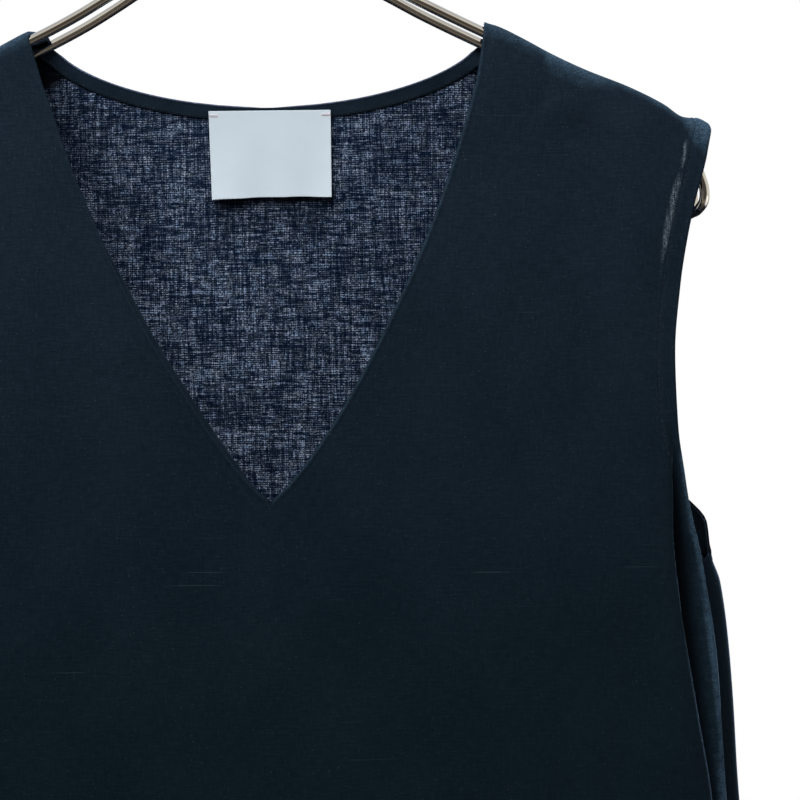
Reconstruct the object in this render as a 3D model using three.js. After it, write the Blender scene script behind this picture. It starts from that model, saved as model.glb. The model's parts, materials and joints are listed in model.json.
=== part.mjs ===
// A sleeveless dress with a V neck, hanging on a double-wire hanger.
// Millimetres, +Z up, the front faces -Y. The origin is the inside top of the hook.
// A level is a height measured down from the neck point, where the V meets the shoulder.
import * as THREE from 'three';
import { mergeGeometries, mergeVertices } from 'three/addons/utils/BufferGeometryUtils.js';

// Cloth
const WALL = 1.2;
const STRIP_WALL = 1.0;
const GAP = 0.3;

// Hanger
const WIRE = 4.6;
const WIRE_DEPTH = 20;         // how far each wire of a pair lies in front of or behind the middle
const WIRE_STRAIGHT = 75;      // half width past which the two wires of an arm run parallel
const WIRE_NECK_LEVEL = 5.1;   // the wire's level beside the neck point
const WIRE_SLOPE = 0.4747;
const SEAT = 0.4;              // cloth to wire
const HOOK_RADIUS = 20;
const HOOK_START_TURN = -50;
const HOOK_TIP_TURN = 200;
const HOOK_TURN_STEP = 12.5;
const HOOK_STEPS = 44;
const ARM_STEPS = 76;
const WIRE_ROOT_DEPTH = 6;
const WIRE_SIDES = 8;
const COLLAR = { width: 18, depth: 22, height: 20, round: 4, top: 66 };

// Dress
const NECK_POINT_Z = -118;
const NECK_HALF = 101;
const NECK_STRIP = 7;
const V_DEPTH = 214.7;
const V_MITRE = 15;
const V_SHAPE = { bow: 0.82, fullness: 0.33 };
const BACK_NECK_HALF = 98.5;
const BACK_NECK_TOP = 3;
const BACK_NECK_DEPTH = 32;
const BACK_NECK_BOW = 0.66;
const ARMHOLE_STRIP = 9;
const UNDERARM = 252;
const LENGTH = 1150;
const FULL_FROM = 300;         // where the skirt begins to widen and to stand further out
const HEM_FULLNESS = 8;        // how much further out the cloth stands at the hem
const CAP_HALF = 200.8;
const CAP_RADIUS = WIRE / 2 + SEAT + WALL / 2;
const PLANE = WIRE_DEPTH + CAP_RADIUS;
const CAP_STRETCH = Math.hypot(1, WIRE_SLOPE);
const LABEL = { width: 57, height: 40, drop: 1.8, lift: 2.5, curl: 0.45 };

// The top line of the shoulder, from the neck point to the shoulder end
const RIDGE = [
  { x: 90, level: -4.2 },
  { x: 101, level: 1.7 },
  { x: 115.7, level: 7.7 },
  { x: 129.5, level: 14.7 },
  { x: 145, level: 22.1 },
  { x: 164.7, level: 31.0 },
  { x: 180, level: 39.2 },
  { x: 189, level: 44.4 },
  { x: 195.4, level: 45.0 },
  { x: 199.4, level: 46.9 },
  { x: 202, level: 51.0 },
];

// Half widths at each level. The front turns under at fold1 by tuck1, comes out again to fold2,
// and turns under by tuck2 to the side seam. Above the underarm fold2 is the front's armhole
// edge, fold1 is where its turned strip ends, and back is the back's armhole edge.
const SIDES = [
  { level: 0, fold1: 193, tuck1: -3, fold2: 201.6, tuck2: -3, back: 201 },
  { level: 50, fold1: 192.6, tuck1: -3, fold2: 201.4, tuck2: -3, back: 200.4 },
  { level: 62, fold1: 190.1, tuck1: -3, fold2: 198.9, tuck2: -3, back: 195.8 },
  { level: 81, fold1: 185.0, tuck1: -3, fold2: 193.7, tuck2: -3, back: 187.8 },
  { level: 96, fold1: 181.6, tuck1: -3, fold2: 190.3, tuck2: -3, back: 185.8 },
  { level: 119, fold1: 178.2, tuck1: -3, fold2: 186.5, tuck2: -3, back: 182.6 },
  { level: 150, fold1: 177.3, tuck1: -3, fold2: 183.8, tuck2: -3, back: 181.0 },
  { level: 186, fold1: 180.4, tuck1: -1.5, fold2: 185.0, tuck2: -1.5, back: 184.5 },
  { level: 207, fold1: 182.0, tuck1: 0.5, fold2: 187.8, tuck2: 0, back: 190.5 },
  { level: 216, fold1: 182.2, tuck1: 2.5, fold2: 189.3, tuck2: 2, back: 196.0 },
  { level: 229, fold1: 182.2, tuck1: 5.5, fold2: 192.2, tuck2: 5, back: 202.8 },
  { level: 243, fold1: 183.1, tuck1: 8.5, fold2: 195.9, tuck2: 9.5, back: 204.4 },
  { level: 257, fold1: 184.6, tuck1: 11, fold2: 198.5, tuck2: 13, back: 209.0 },
  { level: 285, fold1: 188.3, tuck1: 14, fold2: 202.4, tuck2: 17, back: 212.6 },
  { level: 316, fold1: 193.2, tuck1: 17, fold2: 204.6, tuck2: 20, back: 214.7 },
  { level: 347, fold1: 198.2, tuck1: 19, fold2: 206.0, tuck2: 22, back: 216.2 },
  { level: 420, fold1: 206, tuck1: 21, fold2: 212.5, tuck2: 24, back: 222 },
  { level: 600, fold1: 221, tuck1: 24, fold2: 229, tuck2: 28, back: 238 },
  { level: 850, fold1: 241, tuck1: 27, fold2: 251, tuck2: 31, back: 262 },
  { level: 1150, fold1: 265, tuck1: 30, fold2: 277, tuck2: 34, back: 288 },
];
const FOLD_START = 172;        // the level where the sides begin to turn back
const FRONT_TIP_END = 229;     // below it the front's armhole edge runs back to the side seam
const BACK_TIP_END = 234;
const LEFT_TUCK = 0.86;        // the left side's folds are a little shallower

// How far back each turn of the front's side folds lies, from the front plane to the seam plane
const FRONT_TURNS = [0.13, 0.36, 0.62, 1];
const BACK_TURNS = [0.12, 1];
const TURN_LENGTH = 12;
const TURN_EASE = 0.6;         // how much a fold's edges are rounded rather than sharp

// The soft folds stay clear of the side folds, and would be fully grown only below the hem
const FLAT_SIDE = { begins: 34, ends: 6 };
const GROWN_BELOW_HEM = 250;

// Soft vertical folds. Each stands out by depth at the hem and begins at its own level.
const FRONT_FOLDS = [
  { at: -150, half: 26, depth: 15, from: 330 },
  { at: -85, half: 21, depth: 17, from: 255 },
  { at: -33, half: 17, depth: 12, from: 250 },
  { at: 22, half: 23, depth: 15, from: 360 },
  { at: 84, half: 20, depth: 11, from: 420 },
  { at: 138, half: 24, depth: 17, from: 300 },
];
const BACK_FOLDS = [
  { at: -158, half: 25, depth: 15, from: 290 },
  { at: -104, half: 19, depth: 11, from: 380 },
  { at: -44, half: 26, depth: 16, from: 260 },
  { at: 17, half: 18, depth: 10, from: 340 },
  { at: 70, half: 23, depth: 16, from: 270 },
  { at: 131, half: 26, depth: 14, from: 330 },
];

// Mesh rows: where each row of the upper part leaves the neck edge and meets the armhole edge
const FRONT_ROWS = [
  { neck: 20, arm: 62 },
  { neck: 38, arm: 78 },
  { neck: 62, arm: 96 },
  { neck: 90, arm: 116 },
  { neck: 120, arm: 138 },
  { neck: 150, arm: 162 },
  { neck: 178, arm: 185 },
  { neck: 199, arm: 202 },
  { neck: V_DEPTH, arm: 217 },
  { neck: V_DEPTH + V_MITRE, arm: 230 },
  { neck: 239, arm: 239 },
  { neck: 246, arm: 246 },
  { neck: UNDERARM, arm: UNDERARM },
];
const BACK_ROWS = [
  { neck: 0.16, arm: 62 },
  { neck: 0.34, arm: 78 },
  { neck: 0.54, arm: 96 },
  { neck: 0.76, arm: 116 },
  { neck: 1, arm: 138 },
  { neck: BACK_NECK_DEPTH + NECK_STRIP, arm: 162 },
  { neck: 100, arm: 185 },
  { neck: 150, arm: 202 },
  { neck: 188, arm: 217 },
  { neck: 216, arm: 230 },
  { neck: 233, arm: 239 },
  { neck: 244, arm: 246 },
  { neck: UNDERARM, arm: UNDERARM },
];
const SKIRT_ROWS = [261, 280, 305, 335, 375, 430, 505, 600, 720, 850, 1000, LENGTH];
const FLAT_CUTS = [0, 0.11, 0.22, 0.33, 0.44, 0.55, 0.66, 0.76, 0.85, 0.92, 0.98];
const FRONT_CUTS = [...FLAT_CUTS, 1, 1.33, 1.67, 2, 2.33, 2.67, 3, 3.33, 3.67, 4];
const BACK_CUTS = [...FLAT_CUTS, 1, 1.14, 1.36, 1.64, 1.86, 2];
const EVEN_LEVEL = 110;        // above it a row's points are spread evenly
const OWN_LEVEL = 215;         // below it they keep their own cuts
const LEAST_STEP = 0.02;       // between two cuts
const SEARCH_STEP = 0.004;     // in measuring a distance over the cloth

// One wire of an arm: how far its points lie from the collar, then the loop at its end
const ARM_OUT = [0, 8, 20, 34, 50, 66, 92, 125, 160];
const ARM_END = [
  { x: 186, level: 48.6, depth: 20 },
  { x: 192.4, level: 58.5, depth: 20 },
  { x: 196.4, level: 68.7, depth: 20 },
  { x: 198.4, level: 77, depth: 20 },
  { x: 198.2, level: 84, depth: 19 },
  { x: 196, level: 88.4, depth: 15 },
  { x: 194.6, level: 89.4, depth: 8 },
  { x: 194.4, level: 89.6, depth: 0 },
];

// The hook's stem, from the collar to where its round part begins
const STEM = [
  { x: 0, z: GAP - COLLAR.top },
  { x: 0, z: -60 },
  { x: 1.4, z: -53 },
  { x: 6.2, z: -45 },
];

const CLOTH = { color: 0x1b2a36, roughness: 0.85, metalness: 0 };
const CLOTH_INSIDE = { color: 0x16222d, roughness: 0.88, metalness: 0 };
const WOVEN_LABEL = { color: 0xc4d0d8, roughness: 0.6, metalness: 0 };
const CHROME = { color: 0xc9c8c4, roughness: 0.16, metalness: 1 };

const group = new THREE.Group();
const { lerp, clamp, smoothstep } = THREE.MathUtils;

// A column of a table at a place between its rows, on a curve that never overshoots a row
function read(table, key, column, at) {
  const last = table.length - 1;
  const place = clamp(at, table[0][key], table[last][key]);
  let row = 0;
  while (row < last - 1 && place > table[row + 1][key]) row += 1;
  const rise = (i) => (table[i + 1][column] - table[i][column]) / (table[i + 1][key] - table[i][key]);
  const slope = (i) => {
    if (i === 0) return rise(0);
    if (i === last) return rise(last - 1);
    const before = rise(i - 1);
    const after = rise(i);
    return before * after > 0 ? (2 * before * after) / (before + after) : 0;
  };
  const step = table[row + 1][key] - table[row][key];
  const t = (place - table[row][key]) / step;
  const ease = t * t * (3 - 2 * t);
  const bend = t * (1 - t) * step * ((1 - t) * slope(row) - t * slope(row + 1));
  return lerp(table[row][column], table[row + 1][column], ease) + bend;
}

const sides = (column, level) => read(SIDES, 'level', column, level);
const ridge = (x) => read(RIDGE, 'x', 'level', x);
const toZ = (level) => NECK_POINT_Z - level;
const plane = (level) => PLANE + HEM_FULLNESS * smoothstep(level, FULL_FROM, LENGTH);
const turned = (level) => smoothstep(level, FOLD_START, UNDERARM);
const tuckOf = (column, level, hand) => {
  const tuck = sides(column, level);
  return hand < 0 && tuck > 0 ? tuck * LEFT_TUCK : tuck;
};

function softFolds(folds, x, level) {
  const edge = sides('fold1', level);
  const spread = edge / sides('fold1', FULL_FROM);
  const fade = 1 - smoothstep(Math.abs(x), edge - FLAT_SIDE.begins, edge - FLAT_SIDE.ends);
  const out = folds.reduce((sum, fold) => {
    const grown = smoothstep(level, fold.from, LENGTH + GROWN_BELOW_HEM);
    const away = (x - fold.at * spread) / (fold.half * spread);
    return sum + fold.depth * grown * Math.exp(-away * away);
  }, 0);
  return out * fade;
}

// A turn of a fold, from one edge to the next: x swings between them while y moves steadily back
function turn(xs, ys, cut) {
  const leg = Math.min(Math.floor(cut), xs.length - 2);
  const t = cut - leg;
  const swing = (1 - Math.cos(Math.PI * t)) / 2;
  const back = t + (TURN_EASE * Math.sin(2 * Math.PI * t)) / (2 * Math.PI);
  return [lerp(xs[leg], xs[leg + 1], swing), lerp(ys[leg], ys[leg + 1], back)];
}

// The middle of a panel's wall. A cut runs from 0 at the centre line to 1 at the first fold,
// and by 1 more for each turn after it. Face is -1 on the front and 1 on the back.
function panelPoint(xs, turns, folds, face, hand, cut, level) {
  const out = plane(level);
  const far = turned(level);
  const edge = xs[0];
  if (cut <= 1) {
    const x = cut * edge;
    const q = clamp((x - edge + TURN_LENGTH) / TURN_LENGTH, 0, 1);
    const curl = turns[0] * out * far * (1 - Math.sqrt(1 - q * q));
    const y = out - curl + softFolds(folds, hand * x, level);
    return new THREE.Vector3(hand * x, face * y, toZ(level));
  }
  const ys = turns.map((share) => out * (1 - share * far));
  const [x, y] = turn(xs, ys, cut - 1);
  return new THREE.Vector3(hand * x, face * Math.max(y, GAP / 2), toZ(level));
}

function frontPoint(hand, cut, level) {
  const fold1 = sides('fold1', level);
  const fold2 = sides('fold2', level);
  const seam = fold2 - tuckOf('tuck2', level, hand);
  const xs = [fold1, fold1 - tuckOf('tuck1', level, hand), fold2, seam];
  return panelPoint(xs, FRONT_TURNS, FRONT_FOLDS, -1, hand, cut, level);
}

function backPoint(hand, cut, level) {
  const seam = sides('fold2', level) - tuckOf('tuck2', level, hand);
  const xs = [sides('back', level), seam];
  return panelPoint(xs, BACK_TURNS, BACK_FOLDS, 1, hand, cut, level);
}

// The V's half width, and the curve of the back neck from the shoulder (0) to the centre (1)
const vHalf = (level) => {
  const t = clamp(level / V_DEPTH, 0, 1);
  return NECK_HALF * Math.pow(1 - t, V_SHAPE.bow) * (1 + V_SHAPE.fullness * t);
};
function backNeck(t) {
  const angle = (t * Math.PI) / 2;
  const x = BACK_NECK_HALF * Math.cos(angle);
  const drop = Math.pow(1 - (x / BACK_NECK_HALF) ** 2, BACK_NECK_BOW);
  return { x, level: lerp(BACK_NECK_TOP, BACK_NECK_DEPTH, drop) };
}

// The cut that lies a distance in from an edge, measured over the cloth at one level
function insetCut(point, hand, from, level, distance) {
  let cut = from;
  let gone = 0;
  let here = point(hand, cut, level);
  while (gone < distance && cut > SEARCH_STEP) {
    cut -= SEARCH_STEP;
    const next = point(hand, cut, level);
    gone += here.distanceTo(next);
    here = next;
  }
  return cut;
}

// The cuts of one row of the upper part. The first two and the last two bound the turned strips.
function rowCuts({ cuts, point, neckAt, tipCut }, hand, row) {
  const last = cuts.length - 1;
  const neck = neckAt(row.neck);
  const edge = hand * point(hand, 1, neck.level).x;
  const start = neck.x / edge;
  const first = start + neck.strip / edge;
  const tip = tipCut(row.arm);
  const inner = insetCut(point, hand, tip, row.arm, ARMHOLE_STRIP);
  const held = cuts.filter((cut) => cut <= Math.min(1, inner - LEAST_STEP)).length - 1;
  return cuts.map((cut, i) => {
    if (i === 0) return start;
    if (i === last) return tip;
    if (i === 1 && neck.strip) return first;
    const own = lerp(start, cuts[held], cut / cuts[held]);
    const pressed = lerp(cuts[held], inner, (i - held) / (last - 1 - held));
    const even = lerp(first, Math.min(inner, 1), (i - 1) / (last - 2));
    return lerp(even, i <= held ? own : pressed, smoothstep(row.arm, EVEN_LEVEL, OWN_LEVEL));
  });
}

// The cloth over the wires: each row's depth and how far it lies below the shoulder's top line
const overWires = [0, 0.5, 1].map((share) => ({ depth: share * WIRE_DEPTH, drop: 0 }));
for (const degrees of [45, 90]) {
  const angle = THREE.MathUtils.degToRad(degrees);
  const drop = CAP_RADIUS * (1 - Math.cos(angle)) * CAP_STRETCH;
  overWires.push({ depth: WIRE_DEPTH + CAP_RADIUS * Math.sin(angle), drop });
}

// The points of one half of a panel, as rows from the shoulder seam to the hem
function halfPanel(spec, hand) {
  const { face, cuts, rows, point, neckAt } = spec;
  const last = cuts.length - 1;
  const width = CAP_HALF - NECK_HALF;
  const shares = cuts.map((cut, i) => {
    if (i === 0 || i === last) return i / last;
    return lerp(NECK_STRIP / width, 1 - ARMHOLE_STRIP / width, (i - 1) / (last - 2));
  });
  const points = overWires.map(({ depth, drop }) => shares.map((share) => {
    const x = lerp(NECK_HALF, CAP_HALF, share);
    const y = Math.max(depth, GAP / 2);
    return new THREE.Vector3(hand * x, face * y, toZ(ridge(x) + drop));
  }));
  for (const row of rows) {
    const neck = neckAt(row.neck);
    const across = rowCuts(spec, hand, row);
    const tip = across[last];
    const start = across[0];
    points.push(across.map((cut) => {
      const share = (Math.min(cut, 1) - start) / (Math.min(tip, 1) - start);
      return point(hand, cut, lerp(neck.level, row.arm, share));
    }));
  }
  for (const level of SKIRT_ROWS) points.push(cuts.map((cut) => point(hand, cut, level)));
  return points;
}

// A sheet's normals. Cloth that ends at a seam keeps its wall's end square to the seam.
function settle(geometry) {
  geometry.computeVertexNormals();
  const position = geometry.getAttribute('position');
  const normal = geometry.getAttribute('normal');
  for (let i = 0; i < position.count; i += 1) {
    if (Math.abs(position.getY(i)) > GAP) continue;
    const n = new THREE.Vector3(normal.getX(i), 0, normal.getZ(i)).normalize();
    normal.setXYZ(i, n.x, n.y, n.z);
  }
  return geometry;
}

// A grid of points as an open sheet whose normals lean to the front (-1) or the back (1)
function sheet(points, face, hand) {
  const columns = points[0].length - 1;
  const geometry = new THREE.PlaneGeometry(1, 1, columns, points.length - 1);
  geometry.getAttribute('position').copyArray(points.flat().flatMap((p) => [p.x, p.y, p.z]));
  geometry.deleteAttribute('uv');
  if (face * hand > 0) {
    const index = geometry.getIndex();
    for (let i = 0; i < index.count; i += 3) {
      const second = index.getX(i + 1);
      index.setX(i + 1, index.getX(i + 2));
      index.setX(i + 2, second);
    }
  }
  return settle(geometry);
}

// Sheets that share an edge, joined along it and given both faces of their wall
function join(sheets) {
  const joined = mergeGeometries(sheets);
  joined.deleteAttribute('normal');
  const surface = settle(mergeVertices(joined, 1e-4));
  const position = surface.getAttribute('position');
  const normal = surface.getAttribute('normal');
  const far = position.clone();
  for (let i = 0; i < position.count; i += 1) {
    const p = new THREE.Vector3().fromBufferAttribute(position, i);
    const n = new THREE.Vector3().fromBufferAttribute(normal, i).multiplyScalar(WALL / 2);
    position.setXYZ(i, ...p.add(n).toArray());
    far.setXYZ(i, ...p.addScaledVector(n, -2).toArray());
  }
  surface.setAttribute('far', far);
  return surface;
}

// A closed body between a sheet's near face and its far face, with a rim round the edge
function wall(surface) {
  const near = Array.from(surface.getAttribute('position').array);
  const far = Array.from(surface.getAttribute('far').array);
  const index = surface.getIndex().array;
  const count = near.length / 3;
  const faces = [];
  const edges = new Set();
  for (let i = 0; i < index.length; i += 3) {
    const [a, b, c] = index.slice(i, i + 3);
    if (a === b || b === c || c === a) continue;
    faces.push(a, b, c, a + count, c + count, b + count);
    for (const [from, to] of [[a, b], [b, c], [c, a]]) edges.add(`${from} ${to}`);
  }
  for (const edge of edges) {
    const [from, to] = edge.split(' ').map(Number);
    if (edges.has(`${to} ${from}`)) continue;
    faces.push(from, from + count, to, to, from + count, to + count);
  }
  const closed = new THREE.BufferGeometry();
  closed.setAttribute('position', new THREE.Float32BufferAttribute([...near, ...far], 3));
  closed.setIndex(faces);
  closed.computeVertexNormals();
  return closed;
}

function add(name, geometry, finish) {
  const mesh = new THREE.Mesh(geometry, new THREE.MeshStandardMaterial(finish));
  mesh.name = name;
  group.add(mesh);
  return mesh;
}

// How far along a row its neck strip reaches, so that the strip is equally wide all round
function neckStrip(before, here, after, arm) {
  const along = new THREE.Vector2(after.x - before.x, after.level - before.level).normalize();
  const row = new THREE.Vector2(arm.x - here.x, arm.level - here.level).normalize();
  return (NECK_STRIP * row.x) / Math.abs(along.cross(row));
}

const front = {
  face: -1,
  cuts: FRONT_CUTS,
  rows: FRONT_ROWS,
  point: frontPoint,
  neckAt: (level) => {
    const here = { level, x: vHalf(level) };
    const arm = { level: level + 1, x: here.x + 100 };
    if (level > V_DEPTH) return { ...here, strip: 0 };
    const before = { level: level - 1, x: vHalf(level - 1) };
    return { ...here, strip: neckStrip(before, here, here, arm) };
  },
  tipCut: (level) => 3 + smoothstep(level, FRONT_TIP_END, UNDERARM),
};
const back = {
  face: 1,
  cuts: BACK_CUTS,
  rows: BACK_ROWS,
  point: backPoint,
  neckAt: (place) => {
    if (place > 1) return { level: place, x: 0, strip: 0 };
    const here = backNeck(place);
    const row = BACK_ROWS.find(({ neck }) => neck === place);
    const arm = { level: row.arm, x: sides('back', row.arm) };
    return { ...here, strip: neckStrip(backNeck(place - LEAST_STEP), here, here, arm) };
  },
  tipCut: (level) => 1 + smoothstep(level, BACK_TIP_END, UNDERARM),
};

function panel(name, spec) {
  const halves = [1, -1].map((hand) => {
    const points = halfPanel(spec, hand);
    return { points, hand, face: spec.face, sheet: sheet(points, spec.face, hand) };
  });
  add(name, wall(join(halves.map((half) => half.sheet))), CLOTH);
  return halves;
}

// What is sewn on inside is made from the panel's own points, moved in by the gap and the strip
const STRIP_NEAR = WALL / 2 + GAP;
const STRIP_FAR = STRIP_NEAR + STRIP_WALL;
const FIRST_ROW = overWires.length;

function innerPoint({ points, sheet: own }, row, column, depth) {
  const normal = new THREE.Vector3();
  normal.fromBufferAttribute(own.getAttribute('normal'), row * points[0].length + column);
  return points[row][column].clone().addScaledVector(normal, -depth);
}

// A strip along some of a half panel's rows, each row a list of places [row, column]
function strip(half, places, move = (point) => point) {
  const at = (depth) => places.map((row) => (
    row.map(([i, j]) => move(innerPoint(half, i, j, depth), i, j, depth))
  ));
  const surface = sheet(at(STRIP_NEAR), half.face, half.hand);
  const far = at(STRIP_FAR).flat().flatMap((p) => [p.x, p.y, p.z]);
  surface.setAttribute('far', new THREE.Float32BufferAttribute(far, 3));
  surface.deleteAttribute('normal');
  return surface;
}

const stitched = (strips) => wall(mergeVertices(mergeGeometries(strips), 1e-4));

// A neck strip runs down one side of the opening, round its lowest point and up the other
function neckBinding(name, halves, rows) {
  const tip = rows.findIndex(({ neck }) => neck === V_DEPTH || neck === 1) + FIRST_ROW;
  const places = [];
  for (let row = FIRST_ROW; row <= tip; row += 1) places.push([[row, 0], [row, 1]]);
  places.push([[tip, 0], [tip + 1, 0]]);
  const centred = (point, row, column) => (row >= tip && column === 0 ? point.setX(0) : point);
  add(name, stitched(halves.map((half) => strip(half, places, centred))), CLOTH_INSIDE);
}

// An armhole strip runs down inside the front's edge, round the underarm and up the back
function armholeBinding(name, frontHalf, backHalf) {
  const under = FIRST_ROW + FRONT_ROWS.length - 1;
  const seam = (row, depth) => {
    const ends = [frontHalf, backHalf].map((half) => (
      innerPoint(half, row, half.points[0].length - 1, depth)
    ));
    return ends[0].lerp(ends[1], 0.5).setY(0);
  };
  const strips = [frontHalf, backHalf].map((half) => {
    const last = half.points[0].length - 1;
    const places = [];
    for (let row = FIRST_ROW + 1; row <= under + 1; row += 1) {
      places.push([[row, last - 1], [row, last]]);
    }
    return strip(half, places, (point, row, column, depth) => (
      row >= under && column === last ? seam(row, depth) : point
    ));
  });
  add(name, stitched(strips), CLOTH_INSIDE);
}

// A rounded block, a wire bent along a path, and the label's small sheet
function block({ width, depth, height, round }) {
  const outline = new THREE.Shape();
  const x = width / 2 - round;
  const y = depth / 2 - round;
  outline.absarc(x, y, round, 0, Math.PI / 2);
  outline.absarc(-x, y, round, Math.PI / 2, Math.PI);
  outline.absarc(-x, -y, round, Math.PI, 1.5 * Math.PI);
  outline.absarc(x, -y, round, 1.5 * Math.PI, 2 * Math.PI);
  return new THREE.ExtrudeGeometry(outline, { depth: height, bevelEnabled: false, curveSegments: 4 });
}

function wire(path, steps) {
  const round = Array.from({ length: WIRE_SIDES }, (_, i) => {
    const angle = (2 * Math.PI * i) / WIRE_SIDES;
    return new THREE.Vector2(Math.cos(angle), Math.sin(angle)).multiplyScalar(WIRE / 2);
  });
  const extrudePath = new THREE.CatmullRomCurve3(path, false, 'centripetal');
  return new THREE.ExtrudeGeometry(new THREE.Shape(round), { steps, extrudePath });
}

// One wire of an arm runs out along the front, loops down at the end and comes in along the back
function armPath(hand) {
  const start = COLLAR.width / 2 + GAP + (WIRE / 2) * Math.sin(Math.atan(WIRE_SLOPE));
  const level = (x) => WIRE_NECK_LEVEL + WIRE_SLOPE * (x - NECK_HALF);
  const out = ARM_OUT.map((step) => {
    const x = start + step;
    const spread = smoothstep(x, start, WIRE_STRAIGHT);
    return { x, level: level(x), depth: lerp(WIRE_ROOT_DEPTH, WIRE_DEPTH, spread) };
  });
  const half = [...out, ...ARM_END];
  const back = half.slice(0, -1).reverse().map((place) => ({ ...place, depth: -place.depth }));
  return [...half, ...back].map(({ x, level: low, depth }) => (
    new THREE.Vector3(hand * x, -depth, toZ(low))
  ));
}

function hookPath() {
  const radius = HOOK_RADIUS + WIRE / 2;
  const path = STEM.map(({ x, z }) => new THREE.Vector3(x, 0, z));
  for (let degrees = HOOK_START_TURN; degrees <= HOOK_TIP_TURN; degrees += HOOK_TURN_STEP) {
    const angle = THREE.MathUtils.degToRad(degrees);
    path.push(new THREE.Vector3(radius * Math.cos(angle), 0, radius * Math.sin(angle) - HOOK_RADIUS));
  }
  return path;
}

function label() {
  const across = [-1, -0.6, -0.2, 0.2, 0.6, 1];
  const down = [0, 0.25, 0.5, 0.75, 1];
  const place = (y) => down.map((drop) => across.map((side) => {
    const lift = LABEL.lift * drop * drop * lerp(1, side * side, LABEL.curl);
    const level = BACK_NECK_DEPTH + LABEL.drop + LABEL.height * drop;
    return new THREE.Vector3((side * LABEL.width) / 2, y - lift, toZ(level));
  }));
  const near = PLANE - STRIP_FAR - GAP;
  const surface = sheet(place(near), 1, 1);
  const far = place(near - STRIP_WALL).flat().flatMap((p) => [p.x, p.y, p.z]);
  surface.setAttribute('far', new THREE.Float32BufferAttribute(far, 3));
  return surface;
}

const frontHalves = panel('front_panel', front);
const backHalves = panel('back_panel', back);
neckBinding('front_neck_binding', frontHalves, FRONT_ROWS);
neckBinding('back_neck_binding', backHalves, BACK_ROWS);
armholeBinding('armhole_binding_right', frontHalves[0], backHalves[0]);
armholeBinding('armhole_binding_left', frontHalves[1], backHalves[1]);
add('neck_label', wall(label()), WOVEN_LABEL);

add('hanger_hook', wire(hookPath(), HOOK_STEPS), CHROME);
add('hanger_collar', block(COLLAR), CHROME).position.z = -COLLAR.top - COLLAR.height;
add('hanger_arm_right', wire(armPath(1), ARM_STEPS), CHROME);
add('hanger_arm_left', wire(armPath(-1), ARM_STEPS), CHROME);

export default group;
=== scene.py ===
"""A sleeveless linen dress with a V neck on a double-wire hanger, dressed round its solids.

Metres, +Z up, the front faces -Y, and the origin is the inside top of the hanger's hook. A level
is a height measured down from the neck point, where the V meets the shoulder. A cut says how far
out a place lies on half a panel: 0 at the centre line, 1 at the first fold of the side, and 1
more for each turn of that fold, up to the side seam.
"""
import json
import math

import bmesh
import bpy
from mathutils import Matrix, Vector, noise
from mathutils.bvhtree import BVHTree
from mathutils.geometry import interpolate_bezier

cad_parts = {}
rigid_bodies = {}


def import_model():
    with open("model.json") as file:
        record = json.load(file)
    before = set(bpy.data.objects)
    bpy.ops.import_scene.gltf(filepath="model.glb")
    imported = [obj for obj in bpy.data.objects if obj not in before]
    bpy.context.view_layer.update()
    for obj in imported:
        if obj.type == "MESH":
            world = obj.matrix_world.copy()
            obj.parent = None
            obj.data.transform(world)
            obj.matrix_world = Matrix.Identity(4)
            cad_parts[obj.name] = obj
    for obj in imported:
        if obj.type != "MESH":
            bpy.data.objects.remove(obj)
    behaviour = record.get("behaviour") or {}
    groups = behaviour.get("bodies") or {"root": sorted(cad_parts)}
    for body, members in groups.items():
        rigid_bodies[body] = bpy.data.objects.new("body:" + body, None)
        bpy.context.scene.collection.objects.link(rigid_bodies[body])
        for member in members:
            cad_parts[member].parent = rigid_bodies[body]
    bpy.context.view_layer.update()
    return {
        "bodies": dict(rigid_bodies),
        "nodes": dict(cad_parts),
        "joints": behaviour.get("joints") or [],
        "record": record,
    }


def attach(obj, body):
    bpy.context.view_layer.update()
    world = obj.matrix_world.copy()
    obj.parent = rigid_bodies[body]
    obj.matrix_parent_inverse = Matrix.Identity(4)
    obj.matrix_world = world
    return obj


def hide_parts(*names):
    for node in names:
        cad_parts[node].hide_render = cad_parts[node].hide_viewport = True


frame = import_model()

bl_info = {
    "name": "Sleeveless linen dress",
    "version": (1, 0, 0),
    "blender": (4, 5, 0),
    "location": "View3D > Sidebar > Dress",
    "description": "Cloth, trims, hanger and stage for a sleeveless linen dress",
    "category": "Object",
}

# Hanger
WIRE_RADIUS = 0.0023
WIRE_DEPTH = 0.020             # how far each wire of a pair lies before or behind the middle
WIRE_STRAIGHT = 0.075
WIRE_NECK_LEVEL = 0.0051
WIRE_SLOPE = 0.4747
WIRE_ROOT_DEPTH = 0.006
HOOK_RADIUS = 0.020
HOOK_TURN = (-50, 200)         # degrees, from the stem round to the tip
COLLAR = {"width": 0.018, "depth": 0.022, "height": 0.020, "round": 0.004, "top": 0.066}

# Dress
SIDE_NAMES = {1: "right", -1: "left"}   # hands, the way each lies along X
FACE_NAMES = {-1: "front", 1: "back"}   # faces, the way each lies along Y
NECK_POINT_Z = -0.118
NECK_HALF = 0.101
NECK_STRIP = 0.007
V_DEPTH = 0.2147
V_SHAPE = (0.82, 0.33)         # bow and fullness
BACK_NECK_HALF = 0.0985
BACK_NECK_TOP = 0.003
BACK_NECK_DEPTH = 0.032
BACK_NECK_BOW = 0.66
ARMHOLE_STRIP = 0.009
UNDERARM = 0.2565
LENGTH = 1.150
HEM = 0.022
FULL_FROM = 0.300              # where the skirt begins to widen and to stand further out
HEM_FULLNESS = 0.008
CAP_HALF = 0.2008
CAP_RADIUS = 0.0033            # from the wire's middle to the cloth's middle
PLANE = WIRE_DEPTH + CAP_RADIUS
SEAM_HALF_GAP = 0.00015
LABEL = {"width": 0.057, "height": 0.0405, "aside": 0.0009, "drop": 0.0020, "lift": 0.0025,
         "curl": 0.45}

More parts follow.
